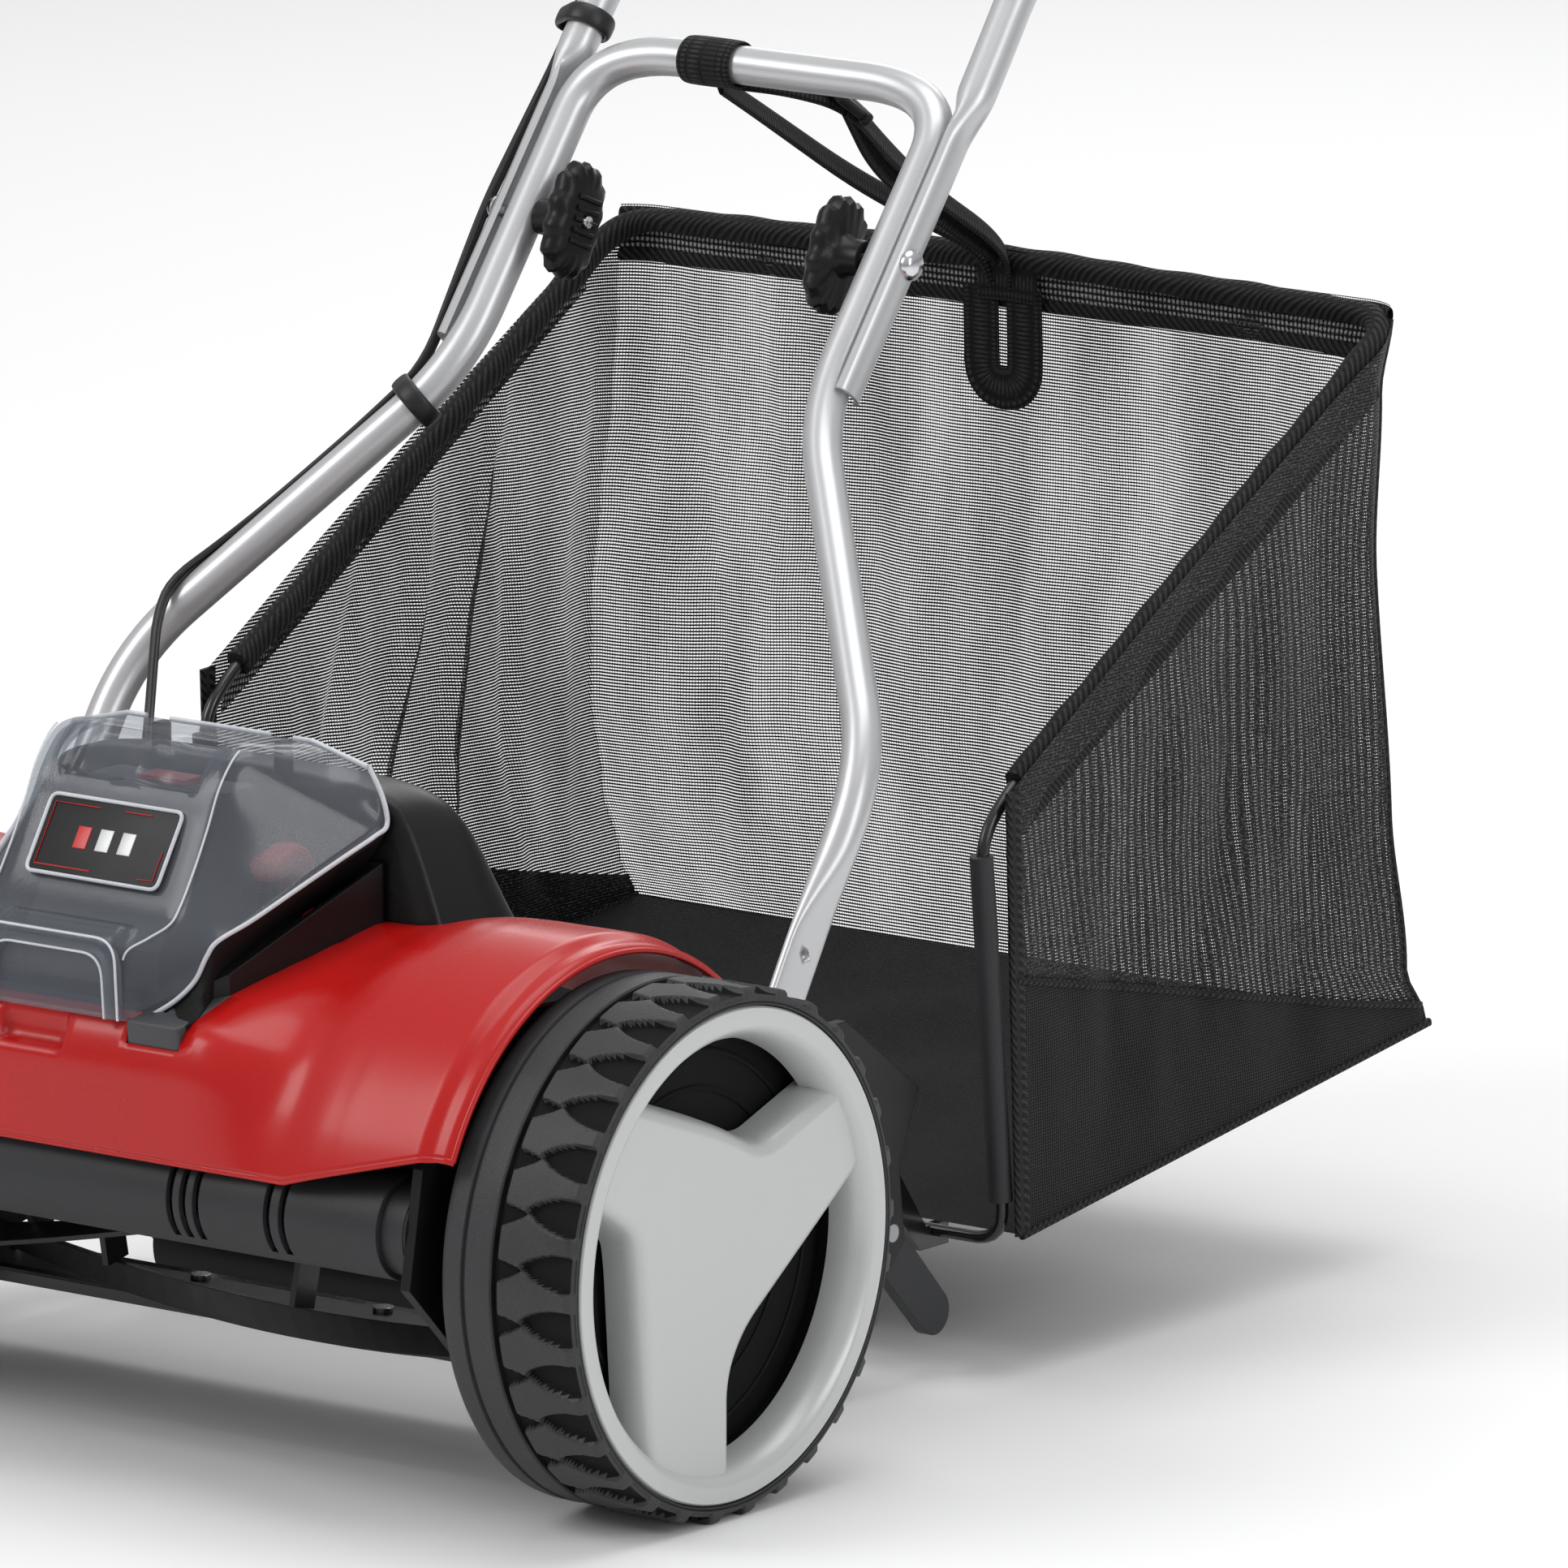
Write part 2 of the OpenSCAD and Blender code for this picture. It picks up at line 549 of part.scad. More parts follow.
module on_bar(x0, x1, r) translate(slope(x0, handle_length)) rotate([0, 90, 0])
  cylinder(h = x1 - x0, r = r);
module grip_sleeves() color([0.06, 0.06, 0.06]) mower() both() difference() {
  on_bar(box_half_w + 6, 142, grip_sleeve_r);
  on_bar(box_half_w + 5, 143, tube_r);
}
module switch_box() color([0.08, 0.08, 0.09]) mower() difference() {
  tilted(handle_length - 26, box_low) translate([-box_half_w, 0, 0])
    cube([2 * box_half_w, 26 + box_back, 58]);
  on_bar(-box_half_w - 1, box_half_w + 1, tube_r);
  tilted(handle_length - 12, 10, 0) translate([-12, -12, 0]) cube([24, 24, 20]);
  both() translate(slope(box_half_w - 20, handle_length, bail_n)) rotate([0, 90, 0])
    cylinder(h = 30, r = pin_r + fit);
}
module safety_button() color([0.75, 0.12, 0.1]) mower()
  tilted(handle_length - 12, 15, 0) translate([-11.5, -11.5, 0]) cube([23, 23, 13]);
module start_bail() color([0.1, 0.1, 0.11]) mower() union() {
  both() {
    translate(slope(box_half_w - 14, handle_length, bail_n)) rotate([0, 90, 0])
      cylinder(h = 20.5, r = pin_r);
    bar(rounded([slope(box_half_w + 3.5, handle_length + 4, bail_n),
      slope(box_half_w + 3.5, handle_length - 48, bail_n + 4),
      slope(0, handle_length - 48, bail_n + 4)], 10), 3);
  }
  both() translate(slope(0, handle_length - 48, bail_n + 4)) rotate([0, 90, 0])
    cylinder(h = 140, r = 3);
}

// ---------- Grass bag ----------
bag_side = [[hook_y + 5, hook_z + 4], [bag_back_y + 12, 104], [bag_back_y + 4, bag_rim_z],
  [bag_back_y - 8, bag_rim_z], [hook_y - 16, bag_top_front_z], [hook_y - 14, hook_z + 4]];
bag_inside = [[hook_y - 60, hook_z + 4 + fabric_t], [hook_y - 2, hook_z + 4 + fabric_t],
  [bag_back_y + 12 - fabric_t, 104 + fabric_t], [bag_back_y + 4 - fabric_t, bag_rim_z + 60],
  [hook_y - 60, bag_rim_z + 60]];
module bag_fabric() color([0.1, 0.1, 0.1]) mower() difference() {
  plate(-bag_half_w, bag_half_w, bag_side);
  plate(fabric_t - bag_half_w, bag_half_w - fabric_t, bag_inside);
  plate(fabric_t - bag_half_w, bag_half_w - fabric_t, [[hook_y - 40, hook_z - 20],
    [hook_y + 5, hook_z - 20], [hook_y + 5, bag_top_front_z + 40], [hook_y - 40, bag_top_front_z + 40]]);
}
module bag_rim_wire() color([0.06, 0.06, 0.06]) mower()
  rod(-bag_wire_x, bag_wire_x, wire_r, bag_back_y - 4, bag_rim_z - 8);
module bag_side_wires() color([0.06, 0.06, 0.06]) mower() both()
  bar([[bag_wire_x, hook_y, hook_z + 3], [bag_wire_x - 2, hook_y - 12, bag_top_front_z - 8],
    [bag_wire_x, bag_back_y - 10, bag_rim_z - 12]], wire_r, up = [1, 0, 0]);
module bag_front_wire() color([0.06, 0.06, 0.06]) mower()
  rod(-bag_wire_x, bag_wire_x, wire_r, hook_y, hook_z);
module bag_leg_sleeves() color([0.09, 0.09, 0.1]) mower() both() difference() {
  translate([bag_wire_x - 1.2, hook_y - 7, hook_z + 22]) rotate([3.5, 0, 0]) cylinder(h = 150, r = 5);
  bar([[bag_wire_x, hook_y, hook_z + 3], [bag_wire_x - 2, hook_y - 12, bag_top_front_z - 8]],
    wire_r, up = [1, 0, 0]);
}
module bag_strap() color([0.04, 0.04, 0.04]) mower()
  bar([slope(10, crossbar_l - 1, -tube_r - 3), [14, 470, 486], [18, bag_back_y - 10, bag_rim_z + 2]],
    1.6, up = [1, 0, 0], sides = 8);

// ---------- Battery lid ----------
module lid_form(inset, drop) hull() both() {
  translate([0, lid_hinge_y - 6, 300 - drop]) cube([48 - inset, 3, 5]);
  translate([0, face_top_y, face_top_z - 5 - drop]) cube([48 - inset, 3, 5]);
  translate([0, lid_hinge_y - 6, 262 - drop]) cube([92 - inset, 3, 25]);
  translate([0, -84, 231 - drop]) cube([74 - inset, 3, 3]);
  translate([0, face_low_y, face_low_z - 3 - drop]) cube([43 - inset, 3, 3]);
}
module lid_shell() color([0.45, 0.46, 0.48, 0.5]) mower() difference() {
  union() {
    difference() {
      lid_form(0, 0);
      translate([0, 2.6, 0]) lid_form(lid_t, lid_t);
      translate([0, 8, -8]) lid_form(lid_t + 2, lid_t);
      translate([0, 16, -16]) lid_form(lid_t + 4, lid_t);
    }
    rod(-hinge_half_w, hinge_half_w, 4, lid_hinge_y, lid_hinge_z);
    translate([-hinge_half_w, -4, 301]) cube([2 * hinge_half_w, 10, 3.5]);
  }
  rod(-hinge_half_w - 1, hinge_half_w + 1, hinge_pin_r, lid_hinge_y, lid_hinge_z);
}
module on_lid_face() translate([0, (face_top_y + face_low_y) / 2, (face_top_z + face_low_z) / 2])
  rotate([face_tilt, 0, 0]) children();
module badge_plate() color([0.05, 0.05, 0.06]) mower()
  on_lid_face() translate([-35, -14, 0.05]) cube([70, 34, 2]);
module lid_latch() color([0.5, 0.51, 0.53, 0.6]) mower() on_lid_face() {
  rod(-36, 36, 3, latch_y, 3.6);
  translate([-36, latch_y - 24, 2]) cube([72, 24, 3]);
}
module battery_pack() color([0.09, 0.09, 0.1]) mower() difference() {
  plate(-37, 37, [[-18, 208], [-18, 286], [-40, 286], [-84, 225], [-84, 208]]);
  translate([-13, -37, 281]) cube([26, 14, 10]);
}
module battery_button() color([0.7, 0.12, 0.1]) mower() translate([-12.6, -36.6, 283]) cube([25.2, 13.2, 5]);
module safety_key() color([0.75, 0.14, 0.12]) mower()
  plate(46, 58, [[-30, 212], [-16, 212], [-16, 272], [-50, 262], [-50, 252], [-30, 256]]);

deck_shell();
front_beam();
side_plate_left();
side_plate_right();
control_housing();
battery_bay();
control_board();
battery_socket();
bed_knife();
knife_carrier();
rear_tie_bar();
motor_can();
drive_belt();
wheel_axles();
axle_clips();
reel_bearings();
lower_handle();
handle_bolts();
bag_hooks();
clip_lower();
cable_lower();
body_screws();
roller_pivot_pins();
motor_shaft();
motor_pulley();
reel_shaft();
reel_spiders();
reel_blades();
reel_pulley();
tyre_left();
wheel_core_left();
hub_cover_left();
tyre_right();
wheel_core_right();
hub_cover_right();
roller_arms();
rear_roller();
height_lever();
upper_handle();
clamp_bolts();
clamp_knob_left();
clamp_knob_right();
grip_sleeves();
switch_box();
start_bail();
safety_button();
clip_upper();
cable_upper();
bag_fabric();
bag_rim_wire();
bag_side_wires();
bag_front_wire();
bag_leg_sleeves();
bag_strap();
lid_shell();
badge_plate();
lid_latch();
battery_pack();
battery_button();
safety_key();
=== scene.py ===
import json
import math

import bmesh
import bpy
from mathutils import Matrix, Vector, noise


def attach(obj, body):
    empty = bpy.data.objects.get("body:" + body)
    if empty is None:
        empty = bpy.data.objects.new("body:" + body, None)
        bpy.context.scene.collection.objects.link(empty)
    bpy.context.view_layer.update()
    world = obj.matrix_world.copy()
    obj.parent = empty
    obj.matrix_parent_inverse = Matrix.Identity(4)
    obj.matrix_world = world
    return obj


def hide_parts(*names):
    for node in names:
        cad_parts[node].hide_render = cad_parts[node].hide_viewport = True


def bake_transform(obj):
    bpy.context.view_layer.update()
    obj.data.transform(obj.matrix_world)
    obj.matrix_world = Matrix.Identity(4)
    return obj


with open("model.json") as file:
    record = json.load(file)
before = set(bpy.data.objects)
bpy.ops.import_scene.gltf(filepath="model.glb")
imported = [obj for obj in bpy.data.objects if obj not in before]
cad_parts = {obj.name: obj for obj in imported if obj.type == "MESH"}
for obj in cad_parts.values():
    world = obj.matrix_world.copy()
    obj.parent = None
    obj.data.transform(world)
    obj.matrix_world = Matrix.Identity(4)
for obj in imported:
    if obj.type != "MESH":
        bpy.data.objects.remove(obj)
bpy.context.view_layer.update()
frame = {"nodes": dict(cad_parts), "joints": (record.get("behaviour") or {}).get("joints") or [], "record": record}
scene = bpy.context.scene
JOINTS = {j["name"]: j for j in frame["joints"]}
AXLE_Y = JOINTS["wheel_left_spin"]["pos_m"][1]
AXLE_Z = 113
SLOPE = math.radians(52)  # of the upper handle
TUBE_R = 8.65
TAU = 2 * math.pi
SIDES = ((-1, "left"), (1, "right"))
CLAMP = (340, 466)  # Y and Z of the handle's clamp bolts
LEG_X = 202.5  # of the handle's flat feet
BAG_X = 221  # of the bag's side walls
WIRE_X = 214  # of the wire frame inside them


# ---------- Places: millimetres from the axle in X and Y, and above the ground in Z ----------
def P(x, y, z):
    return Vector((x * 0.001, AXLE_Y + y * 0.001, z * 0.001))


def S(x, along, up=0.0):
    """A place in the handle's sloping plane: x, along the slope from the clamp bolts, and above it."""
    c, s = math.cos(SLOPE), math.sin(SLOPE)
    return P(x, CLAMP[0] + along * c - up * s, CLAMP[1] + along * s + up * c)


def mix(a, b, t):
    return a + (b - a) * t


def smooth(a, b, x):
    t = min(1.0, max(0.0, (x - a) / (b - a)))
    return t * t * (3 - 2 * t)


def curve(points, x):
    """Piecewise smooth value at x through (x, value) points."""
    if x <= points[0][0]:
        return points[0][1]
    for (x0, y0), (x1, y1) in zip(points, points[1:]):
        if x <= x1:
            return mix(y0, y1, smooth(x0, x1, x))
    return points[-1][1]


def fillet(points, reach, steps=10):
    """The route with each corner turned into a curve that starts reach (metres) before it."""
    out = [points[0]]
    for a, b, c in zip(points, points[1:], points[2:]):
        ra = min(reach, (a - b).length * 0.49)
        rc = min(reach, (c - b).length * 0.49)
        p, q = b + (a - b).normalized() * ra, b + (c - b).normalized() * rc
        out += [p * (1 - t) ** 2 + b * 2 * t * (1 - t) + q * t * t for t in (i / steps
                                                                             for i in range(steps + 1))]
    return out + [points[-1]]


def resample(points, step):
    lengths = [0.0]
    for a, b in zip(points, points[1:]):
        lengths.append(lengths[-1] + (b - a).length)
    n = max(2, int(lengths[-1] / step) + 1)
    out, k = [], 0
    for i in range(n):
        d = lengths[-1] * i / (n - 1)
        while k < len(lengths) - 2 and lengths[k + 1] < d:
            k += 1
        span = max(lengths[k + 1] - lengths[k], 1e-9)
        out.append(points[k].lerp(points[k + 1], (d - lengths[k]) / span))
    return out


# ---------- Materials ----------
def lin(r, g, b):
    return [(c / 255 / 12.92) if c <= 10 else ((c / 255 + 0.055) / 1.055) ** 2.4 for c in (r, g, b)] + [1.0]


def add(nt, kind, ins=None, **props):
    n = nt.nodes.new(kind)
    for k, v in props.items():
        setattr(n, k, v)
    for k, v in (ins or {}).items():
        if isinstance(v, bpy.types.NodeSocket):
            nt.links.new(v, n.inputs[k])
        else:
            n.inputs[k].default_value = v
    return n


def maths(nt, op, a, b=0.0):
    return add(nt, "ShaderNodeMath", {0: a, 1: b}, operation=op).outputs[0]


def ramp(nt, fac, stops):
    n = add(nt, "ShaderNodeValToRGB", {"Fac": fac})
    e = n.color_ramp.elements
    while len(e) < len(stops):
        e.new(0.5)
    for k, (pos, col) in zip(e, stops):
        k.position, k.color = pos, col
    return n.outputs["Color"]


def blank(name):
    m = bpy.data.materials.new(name)
    m.use_nodes = True
    m.node_tree.nodes.clear()
    return m, m.node_tree


def close(nt, shader):
    add(nt, "ShaderNodeOutputMaterial", {"Surface": shader})


def shade(c, k):
    return [min(1.0, c[0] * k), min(1.0, c[1] * k), min(1.0, c[2] * k), 1.0]


def surface(name, color, rough, metal=0.0, grain=900, bump=0.12, depth=0.0003, patch=14, vary=0.07, tint=0.12,
            coat=0.0, edge=0.0008, spec=0.5, see=1.0):
    m, nt = blank(name)
    at = add(nt, "ShaderNodeTexCoord").outputs["Object"]
    fine = add(nt, "ShaderNodeTexNoise", {"Vector": at, "Scale": grain, "Detail": 4.0, "Roughness": 0.6})
    soft = add(nt, "ShaderNodeTexNoise", {"Vector": at, "Scale": patch, "Detail": 6.0, "Roughness": 0.65})
    rub = add(nt, "ShaderNodeMapRange", {"Value": soft.outputs["Fac"], "From Min": 0.3, "From Max": 0.7,
                                          "To Min": max(0.03, rough - vary), "To Max": rough + vary})
    blend = maths(nt, "ADD", maths(nt, "MULTIPLY", fine.outputs["Fac"], 0.5),
                  maths(nt, "MULTIPLY", soft.outputs["Fac"], 0.5))
    base = ramp(nt, blend, [(0.35, shade(color, 1 - tint)), (0.65, shade(color, 1 + tint))])
    ins = {"Height": fine.outputs["Fac"], "Strength": bump, "Distance": depth}
    if edge:
        ins["Normal"] = add(nt, "ShaderNodeBevel", {"Radius": edge}, samples=3).outputs["Normal"]
    bsdf = add(nt, "ShaderNodeBsdfPrincipled", {
        "Base Color": base, "Metallic": metal, "Roughness": rub.outputs["Result"], "Coat Weight": coat,
        "Coat Roughness": 0.12, "Specular IOR Level": spec,
        "Normal": add(nt, "ShaderNodeBump", ins).outputs["Normal"]}).outputs["BSDF"]
    if see < 1:
        clear = add(nt, "ShaderNodeBsdfTransparent", {"Color": (0.9, 0.92, 0.94, 1)}).outputs["BSDF"]
        bsdf = add(nt, "ShaderNodeMixShader", {0: see, 1: clear, 2: bsdf}).outputs["Shader"]
    close(nt, bsdf)
    return m


def threads(nt, uv, pitch_u, pitch_v):
    """|sin| waves across a UV map in metres: one per thread each way."""
    xy = add(nt, "ShaderNodeSeparateXYZ", {0: uv})
    across = maths(nt, "ABSOLUTE", maths(nt, "SINE", maths(nt, "MULTIPLY", xy.outputs[0], math.pi / pitch_u)))
    along = maths(nt, "ABSOLUTE", maths(nt, "SINE", maths(nt, "MULTIPLY", xy.outputs[1], math.pi / pitch_v)))
    return across, along, xy


def netting(name, cover_v, cover_u, color, light, pitch=0.0017):
    """Open woven mesh: thread lines with see-through holes between them."""
    m, nt = blank(name)
    uv = add(nt, "ShaderNodeUVMap", uv_map="UVMap").outputs["UV"]
    across, along, xy = threads(nt, uv, pitch * 0.8, pitch)
    # Tall noise streaks make the threads cover more of the mesh in some places and less in others.
    tall = add(nt, "ShaderNodeMapping", {"Vector": uv, "Scale": (1.0, 0.22, 1.0)}).outputs["Vector"]
    cloud = add(nt, "ShaderNodeTexNoise", {"Vector": tall, "Scale": 16.0, "Detail": 7.0, "Roughness": 0.6})
    cover_streaks = maths(nt, "MULTIPLY", maths(nt, "SUBTRACT", cloud.outputs["Fac"], 0.5), 0.8)
    tv, tu = (math.sin(math.pi / 2 * (1 - c)) for c in (cover_v, cover_u))
    solid = maths(nt, "MAXIMUM", maths(nt, "GREATER_THAN", maths(nt, "ADD", along, cover_streaks), tv),
                  maths(nt, "GREATER_THAN", across, tu))
    speck = add(nt, "ShaderNodeTexNoise", {"Vector": uv, "Scale": 620.0, "Detail": 2.0})
    col = ramp(nt, speck.outputs["Fac"], [(0.5, color), (0.72, light)])
    bsdf = add(nt, "ShaderNodeBsdfPrincipled", {
        "Base Color": col, "Roughness": 0.55, "Sheen Weight": 0.03, "Specular IOR Level": 0.25,
        "Normal": add(nt, "ShaderNodeBump", {"Height": along, "Strength": 0.5,
                                             "Distance": 0.0006}).outputs["Normal"],
    }).outputs["BSDF"]
    clear = add(nt, "ShaderNodeBsdfTransparent").outputs["BSDF"]
    close(nt, add(nt, "ShaderNodeMixShader", {0: solid, 1: clear, 2: bsdf}).outputs["Shader"])
    return m


def woven(name, color, light, pitch_u, pitch_v, twill=0.0, rough=0.72, fleck=0.62):
    """Close cloth or webbing: bumpy threads, lighter flecks, and diagonal lines if twill is set."""
    m, nt = blank(name)
    uv = add(nt, "ShaderNodeUVMap", uv_map="UVMap").outputs["UV"]
    across, along, xy = threads(nt, uv, pitch_u, pitch_v)
    height = maths(nt, "MULTIPLY", across, along)
    if twill:
        line = maths(nt, "ADD", maths(nt, "MULTIPLY", xy.outputs[0], TAU / twill),
                     maths(nt, "MULTIPLY", xy.outputs[1], TAU / twill))
        height = maths(nt, "ADD", maths(nt, "MULTIPLY", maths(nt, "SINE", line), 0.5), 0.5)
    speck = add(nt, "ShaderNodeTexNoise", {"Vector": uv, "Scale": 900.0, "Detail": 3.0})
    cloud = add(nt, "ShaderNodeTexNoise", {"Vector": uv, "Scale": 25.0, "Detail": 4.0})
    # The thread crests and twill ribs are painted lighter than the gaps between them: painted highlight on the
    # raised threads, painted shade in the gaps. The flecks and clouds are the cloth's own tone.
    fac = maths(nt, "ADD", maths(nt, "MULTIPLY", height, 0.35),
                maths(nt, "ADD", maths(nt, "MULTIPLY", speck.outputs["Fac"], 0.5),
                      maths(nt, "MULTIPLY", cloud.outputs["Fac"], 0.2)))
    col = ramp(nt, fac, [(0.45, color), (fleck, shade(light, 0.45)), (0.85, light)])
    bsdf = add(nt, "ShaderNodeBsdfPrincipled", {
        "Base Color": col, "Roughness": rough, "Sheen Weight": 0.04, "Specular IOR Level": 0.2,
        "Sheen Roughness": 0.5,
        "Normal": add(nt, "ShaderNodeBump", {"Height": height, "Strength": 0.8,
                                             "Distance": 0.0006}).outputs["Normal"],
    })
    close(nt, bsdf.outputs["BSDF"])
    return m


M = {
    "red": surface("red_gloss", lin(178, 16, 13), 0.3, grain=420, bump=0.03, patch=9, vary=0.05, tint=0.05,
                   coat=0.1,
                   edge=0, spec=0.36),
    "dark": surface("dark_textured", lin(44, 45, 47), 0.5, grain=1500, bump=0.5, tint=0.2, spec=0.35),
    "black": surface("black_moulded", lin(18, 18, 19), 0.34, grain=1300, bump=0.22, tint=0.2, spec=0.28),
    "deep": surface("black_matt", lin(14, 14, 15), 0.6, grain=1200, bump=0.35, tint=0.25, spec=0.2),
    "bay": surface("bay_plastic", lin(58, 59, 62), 0.46, grain=1500, bump=0.4, tint=0.16),
    "tyre": surface("tyre_rubber", lin(50, 50, 52), 0.5, grain=1000, bump=0.55, patch=26, vary=0.1, tint=0.3,
                    edge=0.0005, spec=0.4),
    "pit": surface("shaded_rubber", lin(20, 20, 21), 0.75, grain=1000, bump=0.4, tint=0.3, edge=0, spec=0.15),
    "hub": surface("hub_silver", lin(196, 198, 198), 0.36, metal=0.25, grain=2200, bump=0.05, tint=0.03,
                   edge=0),
    "tube": surface("tube_lacquer", lin(200, 201, 203), 0.34, metal=0.55, grain=2600, bump=0.03, tint=0.02,
                    patch=12,
                    vary=0.02, edge=0),
    "chrome": surface("bright_zinc", lin(215, 216, 220), 0.16, metal=1.0, grain=1500, bump=0.04, tint=0.04),
    "steel": surface("ground_steel", lin(160, 162, 166), 0.32, metal=1.0, grain=2600, bump=0.2, tint=0.1),
    # The blades are dark partly for their black paint and partly as painted shade for the inside of the deck.
    "blade": surface("blade_steel", lin(30, 30, 32), 0.38, metal=0.2, grain=1800, bump=0.25, patch=40,
                     tint=0.25),
    "wire": surface("black_coated_wire", lin(22, 22, 23), 0.24, grain=700, bump=0.1, tint=0.15, coat=0.3,
                    edge=0),
    "rubber": surface("soft_rubber", lin(20, 20, 21), 0.42, grain=1100, bump=0.3, tint=0.25, edge=0),
    "smoke": surface("smoke_plastic", lin(112, 115, 124), 0.16, grain=1100, bump=0.01, patch=22, vary=0.05,
                     coat=0.5,
                     edge=0, spec=0.6, see=0.33),
    # Near-white strips laid along the lid's edges, ridges, badge frame and latch: painted highlights on the smoke
    # plastic.
    "painted_edge_highlight": surface("painted_edge_highlight", lin(228, 231, 236), 0.14, grain=900, bump=0.1, coat=0.5, edge=0,
                          see=0.7),
    "badge": surface("badge_gloss", lin(10, 10, 11), 0.42, grain=900, bump=0.02, edge=0.0005, spec=0.3),
    "badge_red": surface("badge_line", lin(190, 30, 28), 0.3, grain=900, bump=0.02, edge=0),
    "red_part": surface("red_moulded", lin(205, 38, 30), 0.33, grain=1000, bump=0.12, tint=0.1),
    "battery": surface("battery_case", lin(34, 35, 38), 0.5, grain=1400, bump=0.4, tint=0.2),
    "board": surface("green_board", lin(24, 92, 56), 0.4, grain=500, bump=0.1, tint=0.2),
    "net_back": netting("bag_net_back", 0.55, 0.22, lin(16, 16, 17), lin(96, 96, 98)),
    "net_left": netting("bag_net_left", 0.68, 0.30, lin(16, 16, 17), lin(96, 96, 98)),
    "net_right": netting("bag_net_right", 0.80, 0.5, lin(9, 9, 10), lin(88, 88, 92)),
    "cloth": woven("bag_dense_cloth", lin(10, 10, 11), lin(60, 60, 63), 0.0016, 0.0016),
    "twill": woven("bag_twill_tape", lin(8, 8, 9), lin(58, 58, 61), 0.002, 0.002, twill=0.0042),
    "hem": woven("bag_hem_tape", lin(9, 9, 10), lin(225, 225, 228), 0.0024, 0.0034, fleck=0.66),
    "webbing": woven("strap_webbing", lin(9, 9, 10), lin(62, 62, 66), 0.004, 0.0021),
}
SLOT_LOOK = {
    "red_shell": "red", "dark_housing": "dark", "black_plastic": "black", "smoke_lid": "smoke",
    "badge": "badge",
    "battery_case": "battery", "red_trim": "red_part", "circuit": "board", "handle_tube": "tube",
    "bright_steel": "chrome", "plain_steel": "steel", "blade_steel": "blade", "motor_metal": "steel",
    "tyre_rubber": "tyre", "hub_silver": "hub", "soft_rubber": "rubber", "bag_mesh": "cloth",
    "webbing": "webbing",
    "wire_black": "wire",
}
for part in frame["record"]["subparts"]:
    node = frame["nodes"][part["node"]]
    node.data.materials.clear()
    node.data.materials.append(M[SLOT_LOOK[part["material_slot"]]])
    node.data.shade_smooth()
    node.data.set_sharp_from_angle(angle=math.radians(32))


# ---------- Mesh helpers ----------
def grid_faces(nu, nv, wrap_u=False, wrap_v=False):
    return [(j * nu + i, j * nu + (i + 1) % nu, (j + 1) % nv * nu + (i + 1) % nu, (j + 1) % nv * nu + i)
            for j in range(nv - (not wrap_v)) for i in range(nu - (not wrap_u))]


def make(name, verts, faces, body, slot, look, uv=None, angle=40, replaces=(), fix=True, thick=0.0):
    me = bpy.data.meshes.new(name)
    me.from_pydata([tuple(v) for v in verts], [], faces)
    if uv:
        layer = me.uv_layers.new(name="UVMap")
        for loop in me.loops:
            layer.data[loop.index].uv = uv[loop.vertex_index]
    if fix:
        bm = bmesh.new()
        bm.from_mesh(me)
        bmesh.ops.recalc_face_normals(bm, faces=bm.faces)
        bm.to_mesh(me)
        bm.free()
    me.materials.append(M[look])
    me.shade_smooth()
    me.set_sharp_from_angle(angle=math.radians(angle))
    ob = bpy.data.objects.new(name, me)
    scene.collection.objects.link(ob)
    if thick:
        s = ob.modifiers.new("thickness", "SOLIDIFY")
        s.thickness, s.offset = thick, -1
    if body:
        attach(ob, body)
    if replaces:
        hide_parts(*replaces)
    return ob


def sweep(name, path, profile, body, slot, look, up=(0, 0, 1), closed=False, **more):
    """A tube along path. profile is an outline of (a, b) in mm, a towards up, or a function giving one."""
    n = len(path)
    rows, uv, run, t0, a0 = [], [], 0.0, None, None
    for i, p in enumerate(path):
        before = path[i - 1] if i or closed else p
        after = path[(i + 1) % n] if i < n - 1 or closed else p
        t = (after - before).normalized()
        if a0 is None:
            a0 = Vector(up) - t * t.dot(Vector(up))
        else:
            a0 = t0.rotation_difference(t) @ a0
            run += (p - path[i - 1]).length
        a0 = (a0 - t * a0.dot(t)).normalized()
        t0, b0 = t, t.cross(a0)
        outline = profile(i / (n - 1)) if callable(profile) else profile
        rows.append([p + (a0 * a + b0 * b) * 0.001 for a, b in outline])
        round_length = sum(math.dist(outline[k - 1], outline[k]) for k in range(len(outline))) * 0.001
        uv += [(round_length * k / len(outline), run) for k in range(len(outline))]
    nu = len(rows[0])
    faces = grid_faces(nu, n, wrap_u=True, wrap_v=closed)
    if not closed:
        faces += [tuple(range(nu))[::-1], tuple((n - 1) * nu + k for k in range(nu))]
    return make(name, [p for r in rows for p in r], faces, body, slot, look, uv=uv, **more)


def ring_of(r, sides=24):
    return [(r * math.cos(TAU * k / sides), r * math.sin(TAU * k / sides)) for k in range(sides)]


def pill(half_a, half_b, sides=28, power=0.5):
    """Rounded flat outline: half_a towards up and half_b across."""
    pts = []
    for k in range(sides):
        c, s = math.cos(TAU * k / sides), math.sin(TAU * k / sides)
        pts.append((math.copysign(abs(c) ** power, c) * half_a, math.copysign(abs(s) ** power, s) * half_b))
    return pts


def revolve(name, profile, side, body, slot, look, n=160, radius=None, centre=(0, AXLE_Z), **more):
    """Turns (radius, x) points about a line along X through centre = (y, z). radius() may change a point."""
    verts = []
    for j in range(n):
        a = TAU * j / n
        for k, (r, x) in enumerate(profile):
            rr = radius(a, k, r, x) if radius else r
            verts.append(P(side * x, centre[0] - rr * math.cos(a), centre[1] + rr * math.sin(a)))
    return make(name, verts, grid_faces(len(profile), n, wrap_u=True, wrap_v=True), body, slot, look, **more)


